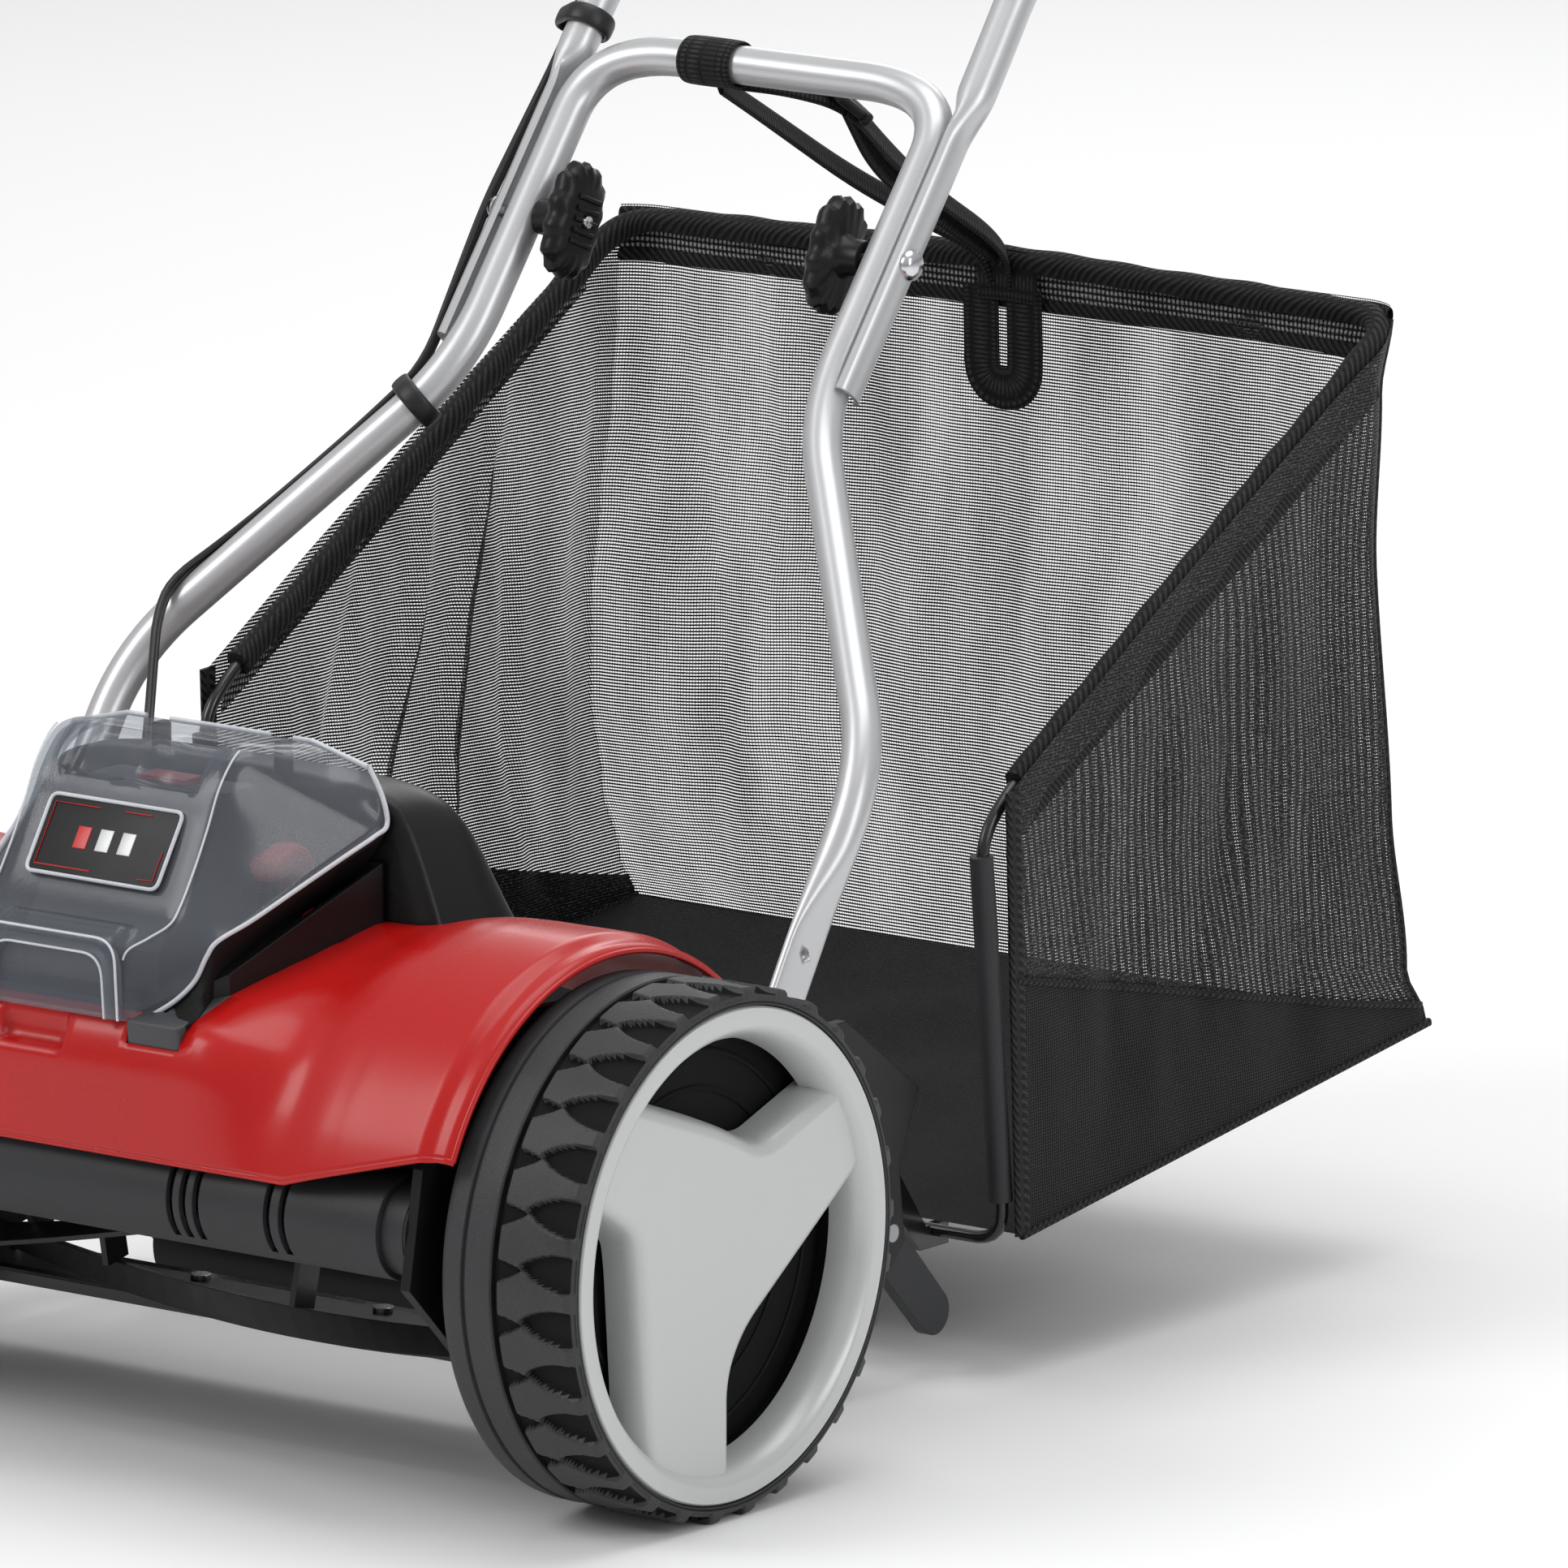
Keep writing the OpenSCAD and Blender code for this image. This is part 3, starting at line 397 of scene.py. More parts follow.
def loft(name, rows, body, slot, look, wrap=False, ends=(), **more):
    """A skin over rows of points. ends holds the rows, 0 or -1, that are closed with a face."""
    n = len(rows[0])
    faces = grid_faces(n, len(rows), wrap_u=wrap)
    faces += [tuple(end % len(rows) * n + k for k in range(n)) for end in ends]
    return make(name, [p for row in rows for p in row], faces, body, slot, look, **more)


def soft_box(name, size, place, body, slot, look, round_mm=2.0, **more):
    """A box of size (mm) with rounded edges, put in place by a matrix."""
    bm = bmesh.new()
    bmesh.ops.create_cube(bm, size=1.0)
    for v in bm.verts:
        v.co = Vector([c * s * 0.001 for c, s in zip(v.co, size)])
    bmesh.ops.bevel(bm, geom=bm.edges[:], offset=round_mm * 0.001, segments=4, profile=0.5, affect="EDGES")
    verts = [place @ v.co for v in bm.verts]
    faces = [tuple(v.index for v in f.verts) for f in bm.faces]
    bm.free()
    return make(name, verts, faces, body, slot, look, **more)


def at(point, turn_x=0.0):
    return Matrix.Translation(point) @ Matrix.Rotation(turn_x, 4, "X")


# ---------- Wheels ----------
PITCHES = 30


def tread(a, x):
    """1 in a pocket of the tread, 0 on a block."""
    f = (a / TAU * PITCHES) % 1.0 - 0.5
    out = 0.0
    t = (x - 251.0) / 24.5
    if t > 0:
        half = 0.33 * (1 - (1 - min(t, 1)) ** 2) ** 0.75
        out = smooth(0.035, -0.035, abs(f - 0.05 * (1 - t)) - half)
    t = (250.5 - x) / 12.0
    if t > 0:
        half = 0.19 * min(t, 1) ** 0.8
        out = max(out, smooth(0.035, -0.035, abs(f + 0.03 + 0.06 * t) - half))
    return out


def tyre_profile():
    pts = [(100.5, 210), (107, 208.4), (110.4, 208.8), (111.8, 210.5), (112.2, 213), (112.3, 219.4),
           (110.6, 220.1),
           (110.4, 221.2), (112.2, 222.0), (112.4, 234.6), (111.6, 235.4), (109.6, 235.9), (109.4, 237.2)]
    pts += [(113.0, 238.2 + i * 1.2) for i in range(31)]
    pts += [(112.0, 275.4), (110.2, 276.3), (108.2, 276.7), (107.4, 276.9), (106.9, 276.1), (106.3, 276.9),
            (105.7, 276.4), (105.4, 270), (100.5, 268)]
    return pts


def tyre_radius(a, k, r, x):
    if x < 238 or r < 109.9:
        return r
    deep = tread(a, x)
    edge = abs((a / TAU * PITCHES) % 1.0 - 0.5)
    lobe = 238.4 + 2.6 * (2 * (0.5 - edge)) ** 6
    soft = smooth(lobe + 0.8, lobe - 0.5, x)
    return r - max(deep * (3.4 if r > 112.5 else 2.2), soft * 3.2)


def polar(r, deg):
    return Vector((r * math.cos(math.radians(deg)), r * math.sin(math.radians(deg)), 0))


ARMS = [polar(103, 15), polar(103, 35), polar(47, 56), polar(52, 91), polar(103, 132), polar(103, 156),
        polar(62, 161),
        polar(56, 173), polar(103, 242), polar(103, 271), polar(53, 272), polar(37, 291)]


def arm_outline():
    n, out = len(ARMS), []
    for i, b in enumerate(ARMS):
        a, c = ARMS[i - 1], ARMS[(i + 1) % n]
        reach = 8 if b.length > 90 else 11
        p = b + (a - b).normalized() * min(reach, (a - b).length * 0.49)
        q = b + (c - b).normalized() * min(reach, (c - b).length * 0.49)
        out += [p * (1 - t) ** 2 + b * 2 * t * (1 - t) + q * t * t for t in (k / 8 for k in range(9))]
    return out


def offset(outline, d):
    n, out = len(outline), []
    for i, p in enumerate(outline):
        t = outline[(i + 1) % n] - outline[i - 1]
        out.append(p + Vector((t.y, -t.x, 0)).normalized() * d)
    return out


for side, word in reversed(SIDES):
    body = "wheel_" + word
    tyre = revolve("tyre_tread_" + word, tyre_profile(), side, body, "tyre_rubber", "tyre", n=PITCHES * 28,
                   radius=tyre_radius, replaces=("tyre_" + word,), angle=34)
    # The faces deep in the tread pockets get the darker rubber: painted shade in the pockets.
    tyre.data.materials.append(M["pit"])
    for f in tyre.data.polygons:
        y, z = f.center.y - AXLE_Y, f.center.z - AXLE_Z * 0.001
        if 0.1063 < math.hypot(y, z) < 0.1112 and 0.2215 < abs(f.center.x) < 0.2752:
            f.material_index = 1
    revolve("hub_ring_" + word, [(105.2, 262), (105.2, 275.8), (104.3, 277.0), (98.0, 277.3), (96.2, 276.8),
                                 (93.4, 273.4), (90.8, 267.5), (89.8, 258), (92.5, 256.5), (100, 258)],
            side, body, "hub_silver", "hub", n=192, replaces=("hub_cover_" + word,), angle=50)
    outline = arm_outline()
    rows = [(4.6, 254.0), (3.2, 264.0), (1.6, 268.8), (0.0, 271.0), (-1.8, 272.2), (-3.3, 272.7),
            (-4.4, 272.76)]
    rows = [[P(side * x, p.x, AXLE_Z + p.y) for p in offset(outline, d)] for d, x in rows]
    loft("hub_arms_" + word, rows, body, "hub_silver", "hub", wrap=True, ends=(-1,), angle=60)
    # The wheel core and its ribs behind the hub windows get the darker rubber: painted shade inside the wheel.
    frame["nodes"]["wheel_core_" + word].data.materials[0] = M["pit"]
    for k, (r, x) in enumerate(((82, 250.8), (66, 250.8))):
        revolve("core_rib_%s_%d" % (word, k), [(r, 249.5), (r, x), (r + 1.2, x + 0.5), (r + 2.4, x),
                                               (r + 2.4, 249.5)],
                side, body, "black_plastic", "pit", n=96)

# ---------- Deck shell: a radius about the axle line for each place along it and each angle ----------
NOSE = [(-118, 120), (-118, 186), (-111.5, 202), (-64, 215), (0, 231), (62, 222), (112, 190), (130, 150)]


def nose_radius(phi):
    dy, dz, best = -math.cos(phi), math.sin(phi), 118.0
    for (y0, z0), (y1, z1) in zip(NOSE, NOSE[1:]):
        ey, ez = y1 - y0, z1 - z0
        den = dy * ez - dz * ey
        if abs(den) > 1e-9:
            t = (y0 * ez - (z0 - AXLE_Z) * ey) / den
            u = (y0 * dz - (z0 - AXLE_Z) * dy) / den
            if t > 0 and 0 <= u <= 1:
                best = t
    return best


def deck_point(x, v, lift=0.0):
    ax = abs(x)
    front = math.radians(15.6 + 9.5 * min(1, max(0, (ax - 130) / 76)))
    phi = mix(front, math.radians(140), v)
    soft = sum(nose_radius(phi + d) for d in (-0.035, 0.0, 0.035)) / 3
    drum = curve([(100, 118), (150, 125.6), (160, 126), (199, 126.3), (205, 123.2), (211.5, 123.0),
                  (213.6, 121.0)], ax)
    w = smooth(80, 132, ax)
    r = mix(soft, drum, w)
    if -26 < x < 12 and phi < 1.2:
        dz = AXLE_Z + r * math.sin(phi)
        r -= 6.5 * smooth(12, 8, x) * smooth(-26, -22, x) * smooth(187, 188.5, dz) * smooth(201, 196, dz)
    r += lift
    return P(x, -r * math.cos(phi), AXLE_Z + r * math.sin(phi))


half_xs = [0, 4, 8, 9, 10, 11, 12, 16, 22, 23, 24, 25, 26, 30, 36, 40, 44, 47, 50, 55, 60, 65, 70, 72.5, 80,
           84, 88, 94,
           100, 106, 112, *range(116, 138, 3), 141, 145, 149, 153, 156, 159, 163, 168, 176, 184, 192, 197,
           199, 201,
           203, 205, 206.5, 209, 211.5, 212.8, 213.6]
xs = sorted({s * x for s in (-1, 1) for x in half_xs})
vs = [i / 110 for i in range(111)]
verts = [deck_point(x, v) for v in vs for x in xs]
faces = []
for f in grid_faces(len(xs), len(vs)):
    c = sum((verts[k] for k in f), Vector()) / 4
    x, y = c.x * 1000, (c.y - AXLE_Y) * 1000
    open_half = curve([(-99, 41), (-80, 68), (0, 86), (84, 100)], y)
    if not (-99 < y < 84 and abs(x) < open_half or -115 < y < -80 and 44 < abs(x) < 72.5):
        faces.append(f)
make("deck_skin", verts, faces, "chassis", "red_shell", "red", replaces=("deck_shell",), angle=70,
     thick=0.0026)
for s, word in SIDES:
    rim = [deck_point(s * 213.0, i / 60, -1.2) for i in range(61)]
    sweep("arch_lip_" + word, rim, pill(1.6, 1.3, 12, 0.9), "chassis",
          "red_shell", "red", up=(1, 0, 0))
edge = [deck_point(x, 0.0, -1.3) for x in xs]
sweep("deck_front_lip", edge, pill(1.5, 1.5, 12, 0.9), "chassis", "red_shell", "red")

web = []
for x in (-190, -186, -150, -120, -112, 0, 112, 120, 150, 186, 190):
    back = 9 * smooth(108, 124, abs(x))
    web.append([P(x, y + back, z - back * 0.6) for y, z in (
        (-70, 131), (-84, 131), (-95, 150), (-103, 166), (-103, 180), (-92, 192), (-88, 191), (-98, 178),
        (-97, 166),
        (-84, 148), (-70, 138))])
loft("beam_web", web, "chassis", "dark_housing", "deep", wrap=True, ends=(0, -1))
for s, word in SIDES:
    revolve("beam_boss_" + word, [(0.01, 174), (19.5, 174), (20.5, 176), (20.5, 190), (0.01, 190)], s,
            "chassis",
            "dark_housing", "dark", n=64, centre=(-93, 129))

# ---------- Control housing: a rounded hump behind the lid ----------
HUMP = [(124, 200), (121, 214), (112, 240), (103, 262), (97, 274), (90, 281), (80, 285), (60, 287), (30, 288)]


def hump_rows():
    rows = []
    for y, top, wide in ((2, 1.0, 1.0), (10, 1.0, 1.0), (22, 1.0, 1.0), (36, 0.985, 1.0), (46, 0.93, 0.995),
                         (56, 0.82, 0.985), (66, 0.62, 0.97), (76, 0.36, 0.955), (84, 0.12, 0.94),
                         (88, 0.0, 0.93)):
        half = [(x * wide, 200 + (z - 200) * top) for x, z in HUMP]
        rows.append([P(-x, y, z) for x, z in half] + [P(x, y, z) for x, z in reversed(half)])
    return rows


hump = loft("housing_hump", hump_rows(), "chassis", "black_plastic", "black", ends=(0,),
            replaces=("control_housing",), angle=46, thick=0.003)
sub = hump.modifiers.new("round", "SUBSURF")
sub.levels = sub.render_levels = 2
for s, word in SIDES:
    soft_box("hinge_ear_" + word, (5, 9, 15), at(P(s * 33.2, 5, 294)), "chassis", "black_plastic", "black",
             1.5)

# ---------- Lid: rows from its rear edge over the top and down the front ----------
RIDGE = [(50, 3, 303), (50, -20, 306), (50, -36, 308), (50, -47, 305), (50, -58, 293), (50, -66, 277),
         (50, -75, 261),
         (50, -85, 246), (49, -91, 239.5), (44, -99, 234.5), (38, -106, 229), (38, -109, 219),
         (42, -113, 201.5)]
BRIM = [(80, 4, 296), (88, 3, 284), (92, 1, 273), (91, -6, 269), (86, -20, 262), (80, -44, 251.5),
        (74, -68, 241),
        (69, -84, 234.5), (66, -88, 228), (62, -90.5, 218), (56, -95, 210), (49, -101, 204), (44, -106, 201)]
FOOT = [(62, 4, 230), (61, 3, 230), (60, 2, 230), (58, -4, 229), (57, -14, 227), (57, -38, 220.5),
        (60, -58, 215),
        (64, -78, 210), (67, -88, 207), (69, -95, 205), (71, -101, 203), (72, -106, 202), (72, -110, 201)]


def spline(points, steps):
    """Catmull-Rom curve through points."""
    ps = [Vector(p) for p in points]
    ps = [ps[0] * 2 - ps[1]] + ps + [ps[-1] * 2 - ps[-2]]
    out = []
    for a, b, c, d in zip(ps, ps[1:], ps[2:], ps[3:]):
        for k in range(steps):
            t = k / steps
            curved = (2 * a - 5 * b + 4 * c - d) * t * t + (3 * b - a - 3 * c + d) * t ** 3
            out.append(0.5 * (2 * b + (c - a) * t + curved))
    return out + [ps[-2]]


def pm(p, s=1):
    return P(s * p[0], p[1], p[2])


FINE = 8
ridge, brim, foot = spline(RIDGE, FINE), spline(BRIM, FINE), spline(FOOT, FINE)


def lid_row(k):
    r, b = ridge[k], brim[k]
    turn = fillet([pm(b, -1), pm(r, -1), pm(r), pm(b)], 0.006, 6)
    row = [turn[0].lerp(turn[1], i / 12) for i in range(12)] + turn[1:7]
    row += [turn[7].lerp(turn[8], i / 60) for i in range(60)] + turn[8:14]
    row += [turn[14].lerp(turn[15], i / 12) for i in range(13)]
    v = k / FINE
    deep = 7.5 * smooth(1.7, 2.3, v) * smooth(4.3, 3.9, v)
    proud = 5.0 * smooth(8.2, 9.2, v) * smooth(11.5, 10.5, v)
    out = []
    for p in row:
        ax = abs(p.x) * 1000
        d = deep * smooth(38, 33, ax) * (1 - 0.5 * smooth(20, 0, ax) ** 2)
        q = proud * smooth(36, 30, ax)
        out.append(p + Vector((0, 0.6 * d - 0.25 * q, -0.8 * d + q)) * 0.001)
    return out


loft("lid_cover", [lid_row(k) for k in range(len(ridge))], "lid", "smoke_lid", "smoke", angle=50,
     thick=0.0024,
     replaces=("lid_shell",))
for s, word in SIDES:
    # Painted highlight strips along the lid's side edges and ridges.
    sweep("lid_edge_" + word, [pm(p, s) for p in brim], pill(1.2, 1.0, 12, 0.8), "lid", "smoke_lid",
          "painted_edge_highlight")
    sweep("lid_ridge_" + word, [pm(p + Vector((-0.4, -0.4, 0.3)), s) for p in ridge[22:84]],
          pill(0.5, 0.5, 10, 1), "lid", "smoke_lid", "painted_edge_highlight")
    wall = []
    for k, (b, f) in enumerate(zip(brim[12:], foot[12:])):
        lift = Vector((1, 0, 3.2 * smooth(44, 60, k) - 1))
        wall.append([pm(b + Vector((-8, 3, -0.5)), s), pm(b + Vector((-0.5, 0.4, -1.2)), s),
                     pm(b + Vector((-0.6, 0, -3)), s),
                     pm(b.lerp(f, 0.25) + Vector((0, 0, -2)) + lift * 0.5, s),
                     pm(b.lerp(f, 0.6) + lift * 0.7, s),
                     pm(f + lift, s), pm(f + Vector((1, 0, -6)), s)])
    loft("bay_wall_" + word, wall, "chassis", "black_plastic", "deep", thick=0.002)
    soft_box("bay_foot_" + word, (28, 17, 15), at(P(s * 58.5, -106.5, 196.5), 0.1), "chassis",
             "black_plastic", "bay", 1.6)
    soft_box("bay_ledge_" + word, (20, 32, 14), at(P(s * 63, -90, 200.5), 0.3), "chassis", "black_plastic",
             "bay", 1.6)
# Painted highlight strips along the lid's rear edge.
for k, (low, high) in enumerate(((-80, -40), (-27, 27), (40, 80))):
    line = [P(x, 4 - abs(x) * 0.012, 303.2 - max(0, abs(x) - 50) * 0.24)
            for x in (mix(low, high, i / 12) for i in range(13))]
    sweep("lid_edge_rear_%d" % k, line, pill(1.2, 1.0, 12, 0.8), "lid", "smoke_lid", "painted_edge_highlight")

FACE_TILT = math.radians(57.5)


def on_face(x, up, out):
    """A point on the lid's front face: x, up the slope from its middle, and out of it."""
    c, s = math.cos(FACE_TILT), math.sin(FACE_TILT)
    return P(x, -74 + up * c - out * s, 263 + up * s + out * c)


def face_frame(x, up, out):
    return Matrix.Translation(on_face(x, up, out)) @ Matrix.Rotation(FACE_TILT, 4, "X")


soft_box("badge_face", (70, 35, 2.4), face_frame(0, 3, 1.0), "lid", "badge", "badge", 1.0,
         replaces=("badge_plate",))
rim = [on_face(x, y, 2.2) for x, y in ((-35.5, -14.8), (35.5, -14.8), (35.5, 20.8), (-35.5, 20.8))]
rim = fillet(rim + rim[:2], 0.004, 5)[1:-2]
# The badge frame is a painted highlight strip round the badge.
sweep("badge_frame", rim, pill(0.9, 0.9, 10, 1), "lid", "smoke_lid", "painted_edge_highlight", closed=True)
for k, line in enumerate(([(-8, 17.2), (-32, 17.2), (-32, -11.2), (-2, -11.2)], [(6, 17.2), (20, 17.2)],
                          [(24, -11.2), (32, -11.2), (32, 2)])):
    sweep("badge_line_%d" % k, [on_face(x, y, 2.25) for x, y in line], pill(0.25, 0.55, 8, 1), "lid", "badge",
          "badge_red")
for k, x in enumerate((-12, 0, 12)):
    look = "hub" if k else "badge_red"
    soft_box("badge_bar_%d" % k, (7, 10, 0.6), face_frame(x, 3, 2.2), "lid", "badge", look, 0.25)
bow = [P(-37, -114, 202), P(-33, -111, 232), P(33, -111, 232), P(37, -114, 202)]
sweep("latch_bow", resample(fillet(bow, 0.010, 8), 0.002), pill(2.6, 4.2, 24, 0.6), "latch", "smoke_lid",
      "smoke", up=(0, -1, 0.2), replaces=("lid_latch",))
# Painted highlight lines along both edges of the latch bow.
for k, (dx, dz) in enumerate(((3.6, 3.6), (-3.6, -3.6))):
    line = [P(-37 - dx, -116, 202), P(-33 - dx, -113.4, 232 + dz), P(33 + dx, -113.4, 232 + dz),
            P(37 + dx, -116, 202)]
    sweep("latch_line_%d" % k, resample(fillet(line, 0.010, 8), 0.002), pill(0.6, 0.6, 10, 1), "latch",
          "smoke_lid", "painted_edge_highlight", up=(0, -1, 0.2))

# ---------- What shows through the lid ----------
pack = at(P(0, -38, 258), FACE_TILT)
soft_box("pack_cover", (70, 50, 26), pack, "battery", "battery_case", "battery", 5)
for k in range(5):
    rib = pack @ Matrix.Translation((0, (k * 9 - 18) * 0.001, 0.0134))
    soft_box("pack_rib_%d" % k, (64, 3, 2), rib, "battery", "battery_case", "battery", 0.8)
key = resample(fillet([P(60, -20, 222), P(60, -20, 263), P(60, -42, 256)], 0.010, 8), 0.003)
sweep("key_handle", key, pill(7, 5, 24, 0.55), "key", "red_trim", "red_part", up=(1, 0, 0),
      replaces=("safety_key",))

# ---------- Handle ----------
def crushed(n=32):
    """Outline of the flattened end: a trough open towards the leg."""
    pts = []
    for k in range(n):
        c, s = math.cos(TAU * k / n), math.sin(TAU * k / n)
        if c >= 0:
            pts.append((-3.0 + 6.2 * c ** 0.7, 8.7 * math.copysign(abs(s) ** 0.9, s)))
        else:
            pts.append((-3.0 + 4.3 * abs(c) ** 0.7, 7.0 * math.copysign(abs(s) ** 0.9, s)))
    return pts


ROUND, FLAT = ring_of(TUBE_R, 32), crushed()


def between(a, b, w):
    return [(mix(p[0], q[0], w), mix(p[1], q[1], w)) for p, q in zip(a, b)]


half = [S(110, -66), S(110, 82), S(107, 165), S(185, 420), S(185, 700), S(125, 700)]
path = resample(fillet(half + [Vector((-p.x, p.y, p.z)) for p in reversed(half)], 0.042, 14), 0.004)
total = 0.004 * (len(path) - 1)


def upper_outline(t):
    d = min(t, 1 - t) * total * 1000
    return between(FLAT, ROUND, smooth(126, 152, d))


sweep("handle_upper_tube", path, upper_outline, "upper_handle", "handle_tube", "tube", up=(1, 0, 0),
      replaces=("upper_handle",), angle=50)

half = fillet([P(LEG_X, 94, 124), P(LEG_X, 143, 207), P(LEG_X, 191, 281), P(98, 292, 405), S(98, 20)], 0.032,
              14)
half = half[:-1] + fillet([S(98, 18), S(98, 85.5), S(0, 85.5)], 0.058, 20)
path = resample(half + [Vector((-p.x, p.y, p.z)) for p in reversed(half)][1:], 0.004)
long_mm = 0.004 * (len(path) - 1) * 1000
STRAP = pill(2.5, 12.0, 32, 0.5)


def lower_outline(t):
    d = min(t, 1 - t) * long_mm
    return between(STRAP, ROUND, smooth(98, 150, d))


leg = sweep("handle_lower_tube", path, lower_outline, "chassis", "handle_tube", "tube", up=(1, 0, 0),
            replaces=("lower_handle",), angle=50)
drill = revolve("hole_tool", [(0.01, -230), (3.0, -230), (3.0, 230), (0.01, 230)], 1, None, "handle_tube",
                "tube", n=40,
                centre=(143, 207))
cut = leg.modifiers.new("hole", "BOOLEAN")
cut.operation, cut.object, cut.solver = "DIFFERENCE", drill, "EXACT"
bpy.context.view_layer.update()
cut_mesh = bpy.data.meshes.new_from_object(leg.evaluated_get(bpy.context.evaluated_depsgraph_get()))
leg.modifiers.clear()
if len(cut_mesh.polygons) > 1000:
    leg.data = cut_mesh
bpy.data.objects.remove(drill)


def on_knob(x, u, v):
    """A place on a clamp knob: u along its wings and v across them."""
    c, s = math.cos(math.radians(68)), math.sin(math.radians(68))
    return P(x, CLAMP[0] + u * c - v * s, CLAMP[1] + u * s + v * c)


for s, word in SIDES:
    dome = [(0.01, 113.0), (7.0, 113.0), (7.0, 113.6), (6.5, 115.2), (4.9, 116.6), (2.5, 117.2),
            (0.01, 117.4)]
    revolve("bolt_dome_" + word, dome, s, "upper_handle", "bright_steel", "chrome", n=40, centre=CLAMP)
    revolve("bolt_washer_" + word, [(3.0, 112.6), (6.9, 112.6), (6.9, 113.3), (3.0, 113.3)], s,
            "upper_handle",
            "bright_steel", "chrome", n=40, centre=CLAMP)
    ends = [(0.01, 62.6), (2.6, 62.8), (3.0, 64), (3.0, 112), (0.01, 112)]
    revolve("bolt_shank_" + word, ends, s, "upper_handle", "bright_steel", "chrome", n=32, centre=CLAMP,
            replaces=("clamp_bolts",) if s > 0 else ())
    rows, n = [], 64
    for x, ra, rb, wave in ((88.9, 8, 8, 0), (80.5, 8.4, 8.4, 0), (78.4, 10, 10, 0.1), (77.2, 19, 12, 0.6),
                            (76, 24.5, 15.2, 1.0),
                            (73, 26.5, 17, 1.0), (70, 26, 16.6, 1.0), (67.6, 24, 15, 0.9), (66, 20, 12, 0.4),
                            (65.3, 14, 8, 0), (65.2, 3.4, 3.4, 0)):
        row = []
        for k in range(n):
            a = TAU * k / n
            w = 1 + 0.055 * wave * math.cos(14 * a) - 0.05 * wave * math.cos(4 * a)
            row.append(on_knob(s * x, ra * math.cos(a) * w, rb * math.sin(a) * w))
        rows.append(row)
    loft("knob_wings_" + word, rows, "knob_" + word, "black_plastic", "black", wrap=True, ends=(0, -1),
         replaces=("clamp_knob_" + word,), angle=38)
    for k in range(5):
        ends = [on_knob(s * 65.0, (k - 2) * 5.0, v) for v in (-7.5, -3, 3, 7.5)]
        sweep("knob_rib_%s_%d" % (word, k), ends, pill(1.3, 1.3, 12, 1), "knob_" + word, "black_plastic",
              "black", up=(1, 0, 0))
    grip = [(8.8, 61)]
    for k in range(27):
        grip += [(14.0, 62 + k * 3.0), (14.3, 63 + k * 3.0), (13.5, 64 + k * 3.0)]
    grip += [(13.8, 142), (8.8, 142)]
    revolve("grip_foam_" + word, grip, s, "upper_handle", "soft_rubber", "rubber", n=40,
            centre=(CLAMP[0] + 700 * math.cos(SLOPE), CLAMP[1] + 700 * math.sin(SLOPE)),
            replaces=("grip_sleeves",) if s > 0 else ())
    foot = [(0.01, 205.0), (6.4, 205.0), (6.4, 206.4), (5.6, 208.0), (3, 208.7), (0.01, 208.8)]
    revolve("foot_bolt_" + word, foot, s, "chassis", "bright_steel", "chrome", n=36, centre=(100, 134))


def band(name, mid, along, shift, body):
    """A rubber ring stretched round the tube and the cables beside it."""
    along = along.normalized()
    a = (shift - along * shift.dot(along)).normalized()
    b = along.cross(a)
    reach = shift.length * 1000
    tube, cable = TUBE_R + 1.5, 4.1
    loop = []
    for k in range(40):
        c, s = math.cos(TAU * k / 40), math.sin(TAU * k / 40)
        far = reach * c + cable
        if far > tube:
            loop.append(mid + (a * (reach + cable * c) + b * (cable * s)) * 0.001)
        else:
            loop.append(mid + (a * (tube * c) + b * (tube * s)) * 0.001)
    return sweep(name, loop, pill(4.6, 1.7, 20, 0.8), body, "soft_rubber", "rubber",
                 up=tuple(along), closed=True)


LEG_DIR = Vector((-0.545, -0.527, -0.647)).normalized()
LEG_TOP = P(-98, 292, 405)
OFF = Vector((-0.0092, 0.0037, 0.0046))
ring = band("cable_ring_low", LEG_TOP + LEG_DIR * 0.024, LEG_DIR, OFF, "chassis")
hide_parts("clip_lower")
ring = band("cable_ring_high", S(-109.4, 97), S(0, 1) - S(0, 0), Vector((-0.0108, 0, 0)), "upper_handle")
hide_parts("clip_upper")
route = [S(-30, 674, 13), S(-38, 640, 13), S(-110, 590, 13), S(-172, 540, 13), S(-192, 505, 8),
         S(-196.5, 460, 1),
         S(-196, 415), S(-160, 290), S(-130.5, 198), S(-118.8, 120), S(-116.8, 80), S(-115.6, 40, 4),
         S(-115.2, 0, 7),
         S(-115.2, -40, 4), LEG_TOP + OFF * 1.2 + LEG_DIR * 0.012, LEG_TOP + OFF + LEG_DIR * 0.05,
         LEG_TOP + OFF + LEG_DIR * 0.100, P(-178, 224, 326), P(-189, 203, 312), P(-178, 180, 300),
         P(-146, 136, 274),
         P(-112, 90, 255)]
for k, (dx, dn) in enumerate(((0.0, 1.7), (-0.6, -1.9))):
    line = [p + Vector((dx * 0.001, -dn * 0.001 * math.sin(SLOPE), dn * 0.001 * math.cos(SLOPE)))
            for p in route]
    cable = sweep("control_cable_%d" % k, resample(fillet(line, 0.016, 6), 0.006), ring_of(1.5, 12), None,
                  "soft_rubber", "rubber", replaces=("cable_upper", "cable_lower"))
    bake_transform(cable)

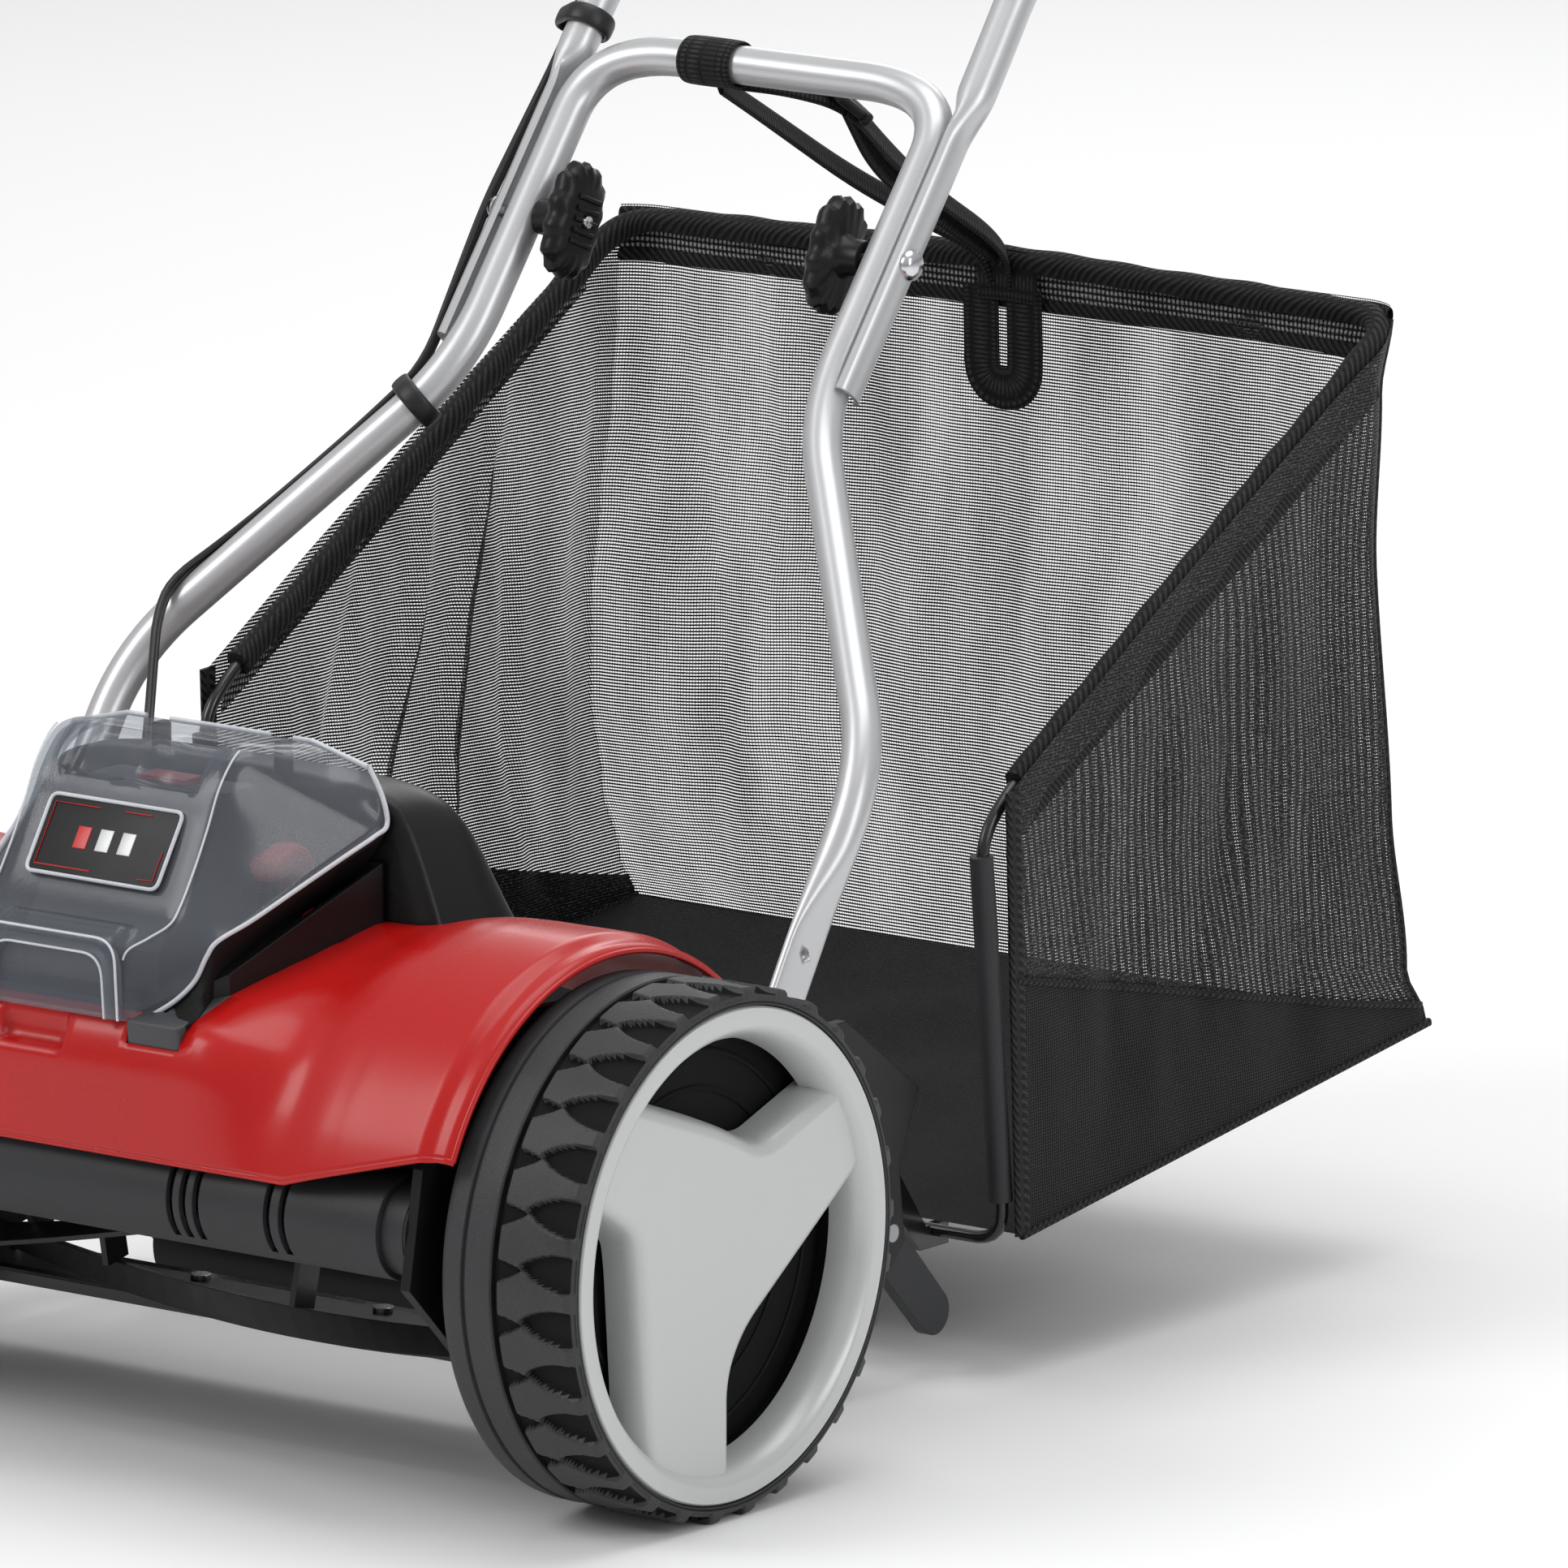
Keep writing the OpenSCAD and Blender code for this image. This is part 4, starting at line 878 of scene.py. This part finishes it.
# ---------- Switch box, bail and button at the grip ----------
soft_box("switch_case", (110, 46, 56), at(S(0, 697, -7), SLOPE), "upper_handle", "black_plastic", "black", 11,
         replaces=("switch_box",))
collar = [S(-14.5, 673.5, 21.8), S(14.5, 673.5, 21.8), S(14.5, 702.5, 21.8), S(-14.5, 702.5, 21.8)]
collar = fillet(collar + collar[:2], 0.005, 6)[1:-2]
sweep("switch_collar", collar, pill(1.8, 2.2, 16, 0.8), "upper_handle", "black_plastic", "dark", closed=True)
soft_box("start_button_cap", (21, 21, 9), at(S(0, 688, 24.5), SLOPE), "start_button", "red_trim", "red_part",
         3,
         replaces=("safety_button",))
bail = [S(140, 652, -24), S(61, 652, -24), S(58.5, 704, -28)]
for s, word in SIDES:
    line = [Vector((s * p.x, p.y, p.z)) for p in bail]
    sweep("bail_wire_" + word, resample(fillet(line, 0.012, 8), 0.003), ring_of(3.0, 16), "bail",
          "wire_black", "wire",
          replaces=("start_bail",) if s > 0 else ())
sweep("bail_middle", resample([S(-61, 652, -24), S(61, 652, -24)], 0.01), ring_of(3.0, 16), "bail",
      "wire_black", "wire")

# ---------- Grass bag ----------
RIGHT_REAR = [(104, 578), (130, 563), (203, 552), (313, 548), (390, 556), (424, 565)]
LEFT_REAR = [(104, 578), (125, 566), (160, 553), (203, 545), (250, 545), (295, 551), (340, 559), (380, 563),
             (424, 565)]


def round_corner(p):
    """Turns a place near an upright rear corner of the bag onto a rounded corner."""
    x, y, z = p.x * 1000, (p.y - AXLE_Y) * 1000, p.z * 1000
    s = 1 if x > 0 else -1
    r = mix(4, 26, smooth(150, 420, z))
    cx, cy = BAG_X - r, curve(RIGHT_REAR if s > 0 else LEFT_REAR, z) - r
    dx, dy = s * x - cx, y - cy
    far = math.hypot(dx, dy)
    if dx > 0 and dy > 0 and far > r:
        return P(s * (cx + dx * r / far), cy + dy * r / far, z)
    return p


def wrinkle(x, y, z, size, seed):
    return noise.noise(Vector((x / size + seed, y / size, z / (size * 2.6))))


def wall_point(side, u, v):
    rear = RIGHT_REAR if side > 0 else LEFT_REAR
    low, top = mix(63, 104, u), mix(259, 424, u)
    z = mix(low, top, v)
    y = mix(mix(276, 268, v), curve(rear, z), u)
    edge = math.sin(math.pi * min(max(u, 0), 1)) * math.sin(math.pi * v)
    x = BAG_X - 5.5 * edge ** 0.7 + 5.0 * wrinkle(0, y, z, 46, 3 + side) * edge ** 0.5
    x += 2.2 * wrinkle(0, y, z, 17, 9 + side) * edge ** 0.5
    if side < 0:
        x -= 7 * smooth(0.62, 0.86, u) * smooth(1.0, 0.9, u) * edge
        for at_u, wide, deep, lean in ((0.90, 0.030, 9, 0.10), (0.74, 0.022, -7, -0.12),
                                       (0.60, 0.02, 10, 0.24),
                                       (0.42, 0.022, 9, 0.3), (0.28, 0.024, -6, 0.2), (0.15, 0.03, 8, 0.12)):
            mid = at_u + lean * (v - 0.5) + 0.02 * math.sin(v * 9 + at_u * 20)
            x -= deep * edge * math.exp(-((u - mid) / wide) ** 2)
    return round_corner(P(side * x, y, z))


def panel(name, point, nu, nv, look, lies=False):
    """A sheet of cloth through point(u, v). lies is for one that is flat, where its threads follow Y."""
    verts = [point(i / (nu - 1), j / (nv - 1)) for j in range(nv) for i in range(nu)]
    uv, run = [], 0.0
    for k, p in enumerate(verts):
        run = run + (p - verts[k - 1]).length if k % nu else 0.0
        uv.append((run, p.y if lies else p.z * 1.15))
    return make(name, verts, grid_faces(nu, nv), "bag", "bag_mesh", look, uv=uv, fix=False, angle=75)


for side, word, look in ((1, "right", "net_right"), (-1, "left", "net_left")):
    wall = panel("bag_wall_" + word, lambda u, v: wall_point(side, u, v), 150, 60, look)
    rear = RIGHT_REAR if side > 0 else LEFT_REAR

    def flap_point(u, v):
        p = wall_point(side, u, v * (mix(176, 112, u) - mix(63, 104, u)) / (mix(259, 424, u) - mix(63, 104,
                                                                                                   u)))
        return Vector((p.x + side * 0.0009, p.y, p.z))

    flap = panel("bag_flap_" + word, flap_point, 60, 16, "cloth")
    seam = [flap_point(i / 60, 1.0) + Vector((side * 0.0006, 0, 0)) for i in range(61)]
    sweep("bag_flap_seam_" + word, seam, pill(0.7, 1.6, 10, 0.8), "bag", "bag_mesh", "twill", up=(1, 0, 0))


def rear_y(x, z):
    centre = 577 - (z - 104) / 324 * 12 + 3 * math.sin(math.pi * (z - 104) / 324)
    right, left = curve(RIGHT_REAR, z), curve(LEFT_REAR, z)
    w_r, w_l = smooth(120, BAG_X, x), smooth(95, BAG_X, -x)
    return centre + (right - centre) * w_r + (left - centre) * w_l


def back_point(u, v):
    x, z = mix(-BAG_X, BAG_X, u), mix(104, 428, v)
    edge = math.sin(math.pi * u) ** 0.5 * math.sin(math.pi * v) ** 0.6
    y = rear_y(x, z) + (5.5 * wrinkle(x, 0, z, 60, 21) + 2.4 * wrinkle(x, 0, z, 22, 5)) * edge
    for at_x, wide, deep in ((-176, 9, 8), (-140, 8, -6), (-96, 10, 5), (60, 22, 4), (172, 8, 7),
                             (122, 10, -5)):
        y += deep * edge * math.exp(-((x - at_x - 14 * math.sin(v * 5 + at_x)) / wide) ** 2)
    return round_corner(P(x * (1 - 0.012 * edge), y, z))


back = panel("bag_back", back_point, 180, 60, "net_back")


def floor_point(u, v):
    x, y = mix(-BAG_X, BAG_X, u), mix(276, 578, v)
    edge = math.sin(math.pi * u) ** 0.6 * math.sin(math.pi * v) ** 0.6
    z = mix(63, 104, v) - 2.5 * edge + 3.5 * wrinkle(x, y, 0, 60, 13) * edge
    return P(x, y, z)


floor_cloth = panel("bag_floor", floor_point, 80, 60, "cloth", lies=True)
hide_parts("bag_fabric")


def ribbon(name, path, half_wide, half_thick, look, up, body="bag", slot="bag_mesh", **more):
    """Flat tape along path."""
    return sweep(name, path, pill(half_thick, half_wide, 20, 0.6), body, slot, look, up=up, **more)


for k, (z0, z1, look, out) in enumerate(((402, 408.5, "twill", 1.6), (408, 421, "hem", 1.2),
                                         (420, 427, "twill", 1.8))):
    for face in (-1, 1):
        def hem_point(u, v):
            x, z = mix(-220.5, 220.5, u), mix(z0, z1, v)
            bulge = out * math.sin(math.pi * v) ** 0.5 + 0.4
            p = round_corner(P(x, rear_y(x, z), z))
            return p + Vector((0, face * bulge + 0.8 * wrinkle(x, 0, z, 24, 31), 0)) * 0.001
        panel("bag_hem_%d_%s" % (k, "in" if face < 0 else "out"), hem_point, 120, 8, look)
frame_route = [P(0, 273.5, 59.5), P(WIRE_X, 273.5, 59.5), P(WIRE_X, 255.5, 238), P(WIRE_X, 274, 256),
               P(WIRE_X, 561, 422),
               P(0, 563, 425)]
wire = fillet(frame_route, 0.016, 12)
loop = resample(wire + [Vector((-p.x, p.y, p.z)) for p in reversed(wire)][1:-1], 0.004)
sweep("bag_wire_loop", loop, ring_of(2.8, 16), "bag", "wire_black", "wire", closed=True,
      replaces=("bag_rim_wire", "bag_side_wires", "bag_front_wire"))
half_rim = fillet([P(WIRE_X, 281, 260), P(WIRE_X, 561, 422), P(0, 563, 425.5)], 0.024, 12)
rim = resample(half_rim + [Vector((-p.x, p.y, p.z)) for p in reversed(half_rim)][1:], 0.0035)


def sleeve(t):
    wob = 1 + 0.05 * math.sin(t * 190) + 0.04 * math.sin(t * 71)
    return [(a * wob, b * wob) for a, b in pill(5.6, 5.2, 20, 0.8)]


sweep("bag_rim_sleeve", rim, sleeve, "bag", "bag_mesh", "twill")
for s, word in SIDES:
    def arm_hem(u, v):
        p = round_corner(P(s * WIRE_X, mix(276, 540, u), mix(257, 410, u)))
        drop = mix(0, 20, v)
        return p + Vector((s * (0.001 + 0.005 * math.sin(math.pi * v * 0.5)), 0.0, -drop * 0.001))
    panel("bag_arm_hem_" + word, arm_hem, 60, 8, "hem" if s < 0 else "twill")
    front = [P(s * 221.6, mix(276.5, 268.5, t), mix(63, 259, t)) for t in (i / 24 for i in range(25))]
    ribbon("bag_front_hem_" + word, front, 5.0, 1.1, "twill", (1, 0, 0))
    low = [P(s * 221.5, mix(276, 579, t), mix(62.5, 103.5, t)) for t in (i / 24 for i in range(25))]
    ribbon("bag_low_piping_" + word, low, 1.8, 1.6, "twill", (1, 0, 0))
    rear = RIGHT_REAR if s > 0 else LEFT_REAR
    corner = [round_corner(P(s * BAG_X, curve(rear, mix(104, 422, t)) + 0.8, mix(104, 422, t)))
              for t in (i / 50 for i in range(51))]
    if s > 0:
        ribbon("bag_corner_piping_" + word, corner, 1.5, 1.5, "twill", (1, 0, 0))
    leg = [P(s * WIRE_X, mix(256.3, 271, t), mix(232, 78, t)) for t in (i / 12 for i in range(13))]
    sweep("leg_sleeve_" + word, leg, ring_of(5.2, 20), "bag", "black_plastic", "dark",
          replaces=("bag_leg_sleeves",) if s > 0 else ())
tab = fillet([P(-13.5, 561.5, 412), P(-13.5, 563, 366), P(10.5, 563, 366), P(10.5, 561.5, 412)], 0.0122, 10)
sweep("pull_tab", resample(tab, 0.002), pill(9.8, 0.9, 20, 0.5), "bag", "webbing", "webbing", up=(1, 0, 0))

# ---------- Strap from the crossbar to the bag's rim ----------
bar = S(-33, 85.3)
loop = [bar + Vector((0, math.cos(a) * 0.0101, math.sin(a) * 0.0101)) for a in (TAU * i / 40
                                                                                for i in range(40))]
ribbon("strap_loop", loop, 14.5, 0.9, "webbing", (0, 1, 0), body="chassis", slot="webbing", closed=True,
       replaces=("bag_strap",))


def strand(name, points, twist, half):
    """A length of strap that turns by twist (radians) and bends between the handle and the bag."""
    line = resample(fillet([P(*p) for p in points], 0.03, 10), 0.004)
    rows_of = pill(1.3, half, 20, 0.6)

    def outline(t):
        a = twist * t
        return [(p * math.cos(a) - q * math.sin(a), p * math.sin(a) + q * math.cos(a)) for p, q in rows_of]

    ob = sweep(name, line, outline, None, "webbing", "webbing", up=(0.5, -0.6, 0.6))
    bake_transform(ob)


strand("strap_strand_0", [(-34, 396, 523), (-38, 430, 506), (-40, 500, 467), (-34, 540, 446), (-10, 560, 430),
                          (-4, 562, 414)],
       0.3, 5.5)
strand("strap_strand_1", [(-26, 397, 526), (-8, 412, 523), (6, 436, 514), (2, 470, 488), (-3, 510, 462),
                          (4, 556, 433),
                          (2, 562, 414)], -0.3, 5.5)
strand("strap_strand_2", [(6, 436, 511), (-4, 470, 480), (-6, 510, 456), (0, 556, 428)], 0.4, 4.5)
buckle = Matrix.Translation(P(6, 437, 513)) @ Matrix.Rotation(math.radians(-32), 4,
                                                              "X") @ Matrix.Rotation(0.5, 4, "Y")
soft_box("strap_buckle", (14, 26, 4.5), buckle, "chassis", "black_plastic", "black", 1.6)
soft_box("strap_buckle_bar", (17, 5, 6.5), buckle @ Matrix.Translation((0, 0.009, 0)), "chassis",
         "black_plastic", "black", 2)
ribbon("strap_patch", [P(-14, 560.2, 418), P(2, 560.2, 418.5), P(18, 560.4, 418)], 12, 1.2, "webbing",
       (0, 1, 0),
       slot="webbing")

# ---------- Stage, light and camera ----------
floor_mat, nt = blank("studio_floor")
close(nt, add(nt, "ShaderNodeBsdfPrincipled", {"Base Color": (0.93, 0.93, 0.93, 1), "Roughness": 0.7,
                                              "Specular IOR Level": 0.2}).outputs["BSDF"])
me = bpy.data.meshes.new("floor")
me.from_pydata([(-30, -30, 0), (30, -30, 0), (30, 30, 0), (-30, 30, 0)], [], [(0, 1, 2, 3)])
me.materials.append(floor_mat)
floor = bpy.data.objects.new("floor", me)
scene.collection.objects.link(floor)

world = bpy.data.worlds.new("studio")
scene.world = world
world.use_nodes = True
nt = world.node_tree
nt.nodes.clear()
up = add(nt, "ShaderNodeSeparateXYZ", {0: add(nt, "ShaderNodeTexCoord").outputs["Generated"]}).outputs[2]
sky = ramp(nt, maths(nt, "ADD", maths(nt, "MULTIPLY", up, 0.5), 0.5),
           [(0.0, (0.5, 0.5, 0.5, 1)), (0.5, (0.42, 0.42, 0.43, 1)), (0.62, (0.75, 0.75, 0.76, 1)),
            (1.0, (1, 1, 1, 1))])
add(nt, "ShaderNodeOutputWorld", {"Surface": add(nt, "ShaderNodeBackground",
                                                 {"Color": sky, "Strength": 0.62}).outputs[0]})


def lamp(name, place, aim, size, size_y, watts):
    data = bpy.data.lights.new(name, "AREA")
    data.shape, data.size, data.size_y, data.energy = "RECTANGLE", size, size_y, watts
    ob = bpy.data.objects.new(name, data)
    scene.collection.objects.link(ob)
    ob.location = place
    ob.rotation_euler = (Vector(aim) - Vector(place)).to_track_quat("-Z", "Y").to_euler()


lamp("key", (-1.6, -2.6, 2.6), (0, 0, 0.35), 1.8, 1.8, 46)
lamp("fill", (3.4, -0.6, 1.9), (0, 0, 0.35), 1.0, 2.2, 26)
lamp("top", (0.2, 0.4, 3.4), (0, 0, 0.3), 2.4, 2.4, 42)
lamp("back", (-1.5, 3.2, 2.2), (0, 0.2, 0.4), 2.2, 1.6, 30)

cam = bpy.data.cameras.new("camera")
cam.sensor_width, cam.lens = 36.0, 421.56
cam.shift_x, cam.shift_y = 0.0151, -0.1755
cam.clip_start, cam.clip_end = 0.1, 100.0
view = bpy.data.objects.new("camera", cam)
scene.collection.objects.link(view)
view.location = (4.79527, -6.26507, 1.86412)
view.rotation_euler = (math.radians(79.10), 0.0, math.radians(37.27))
scene.camera = view
scene.view_settings.view_transform = "Standard"
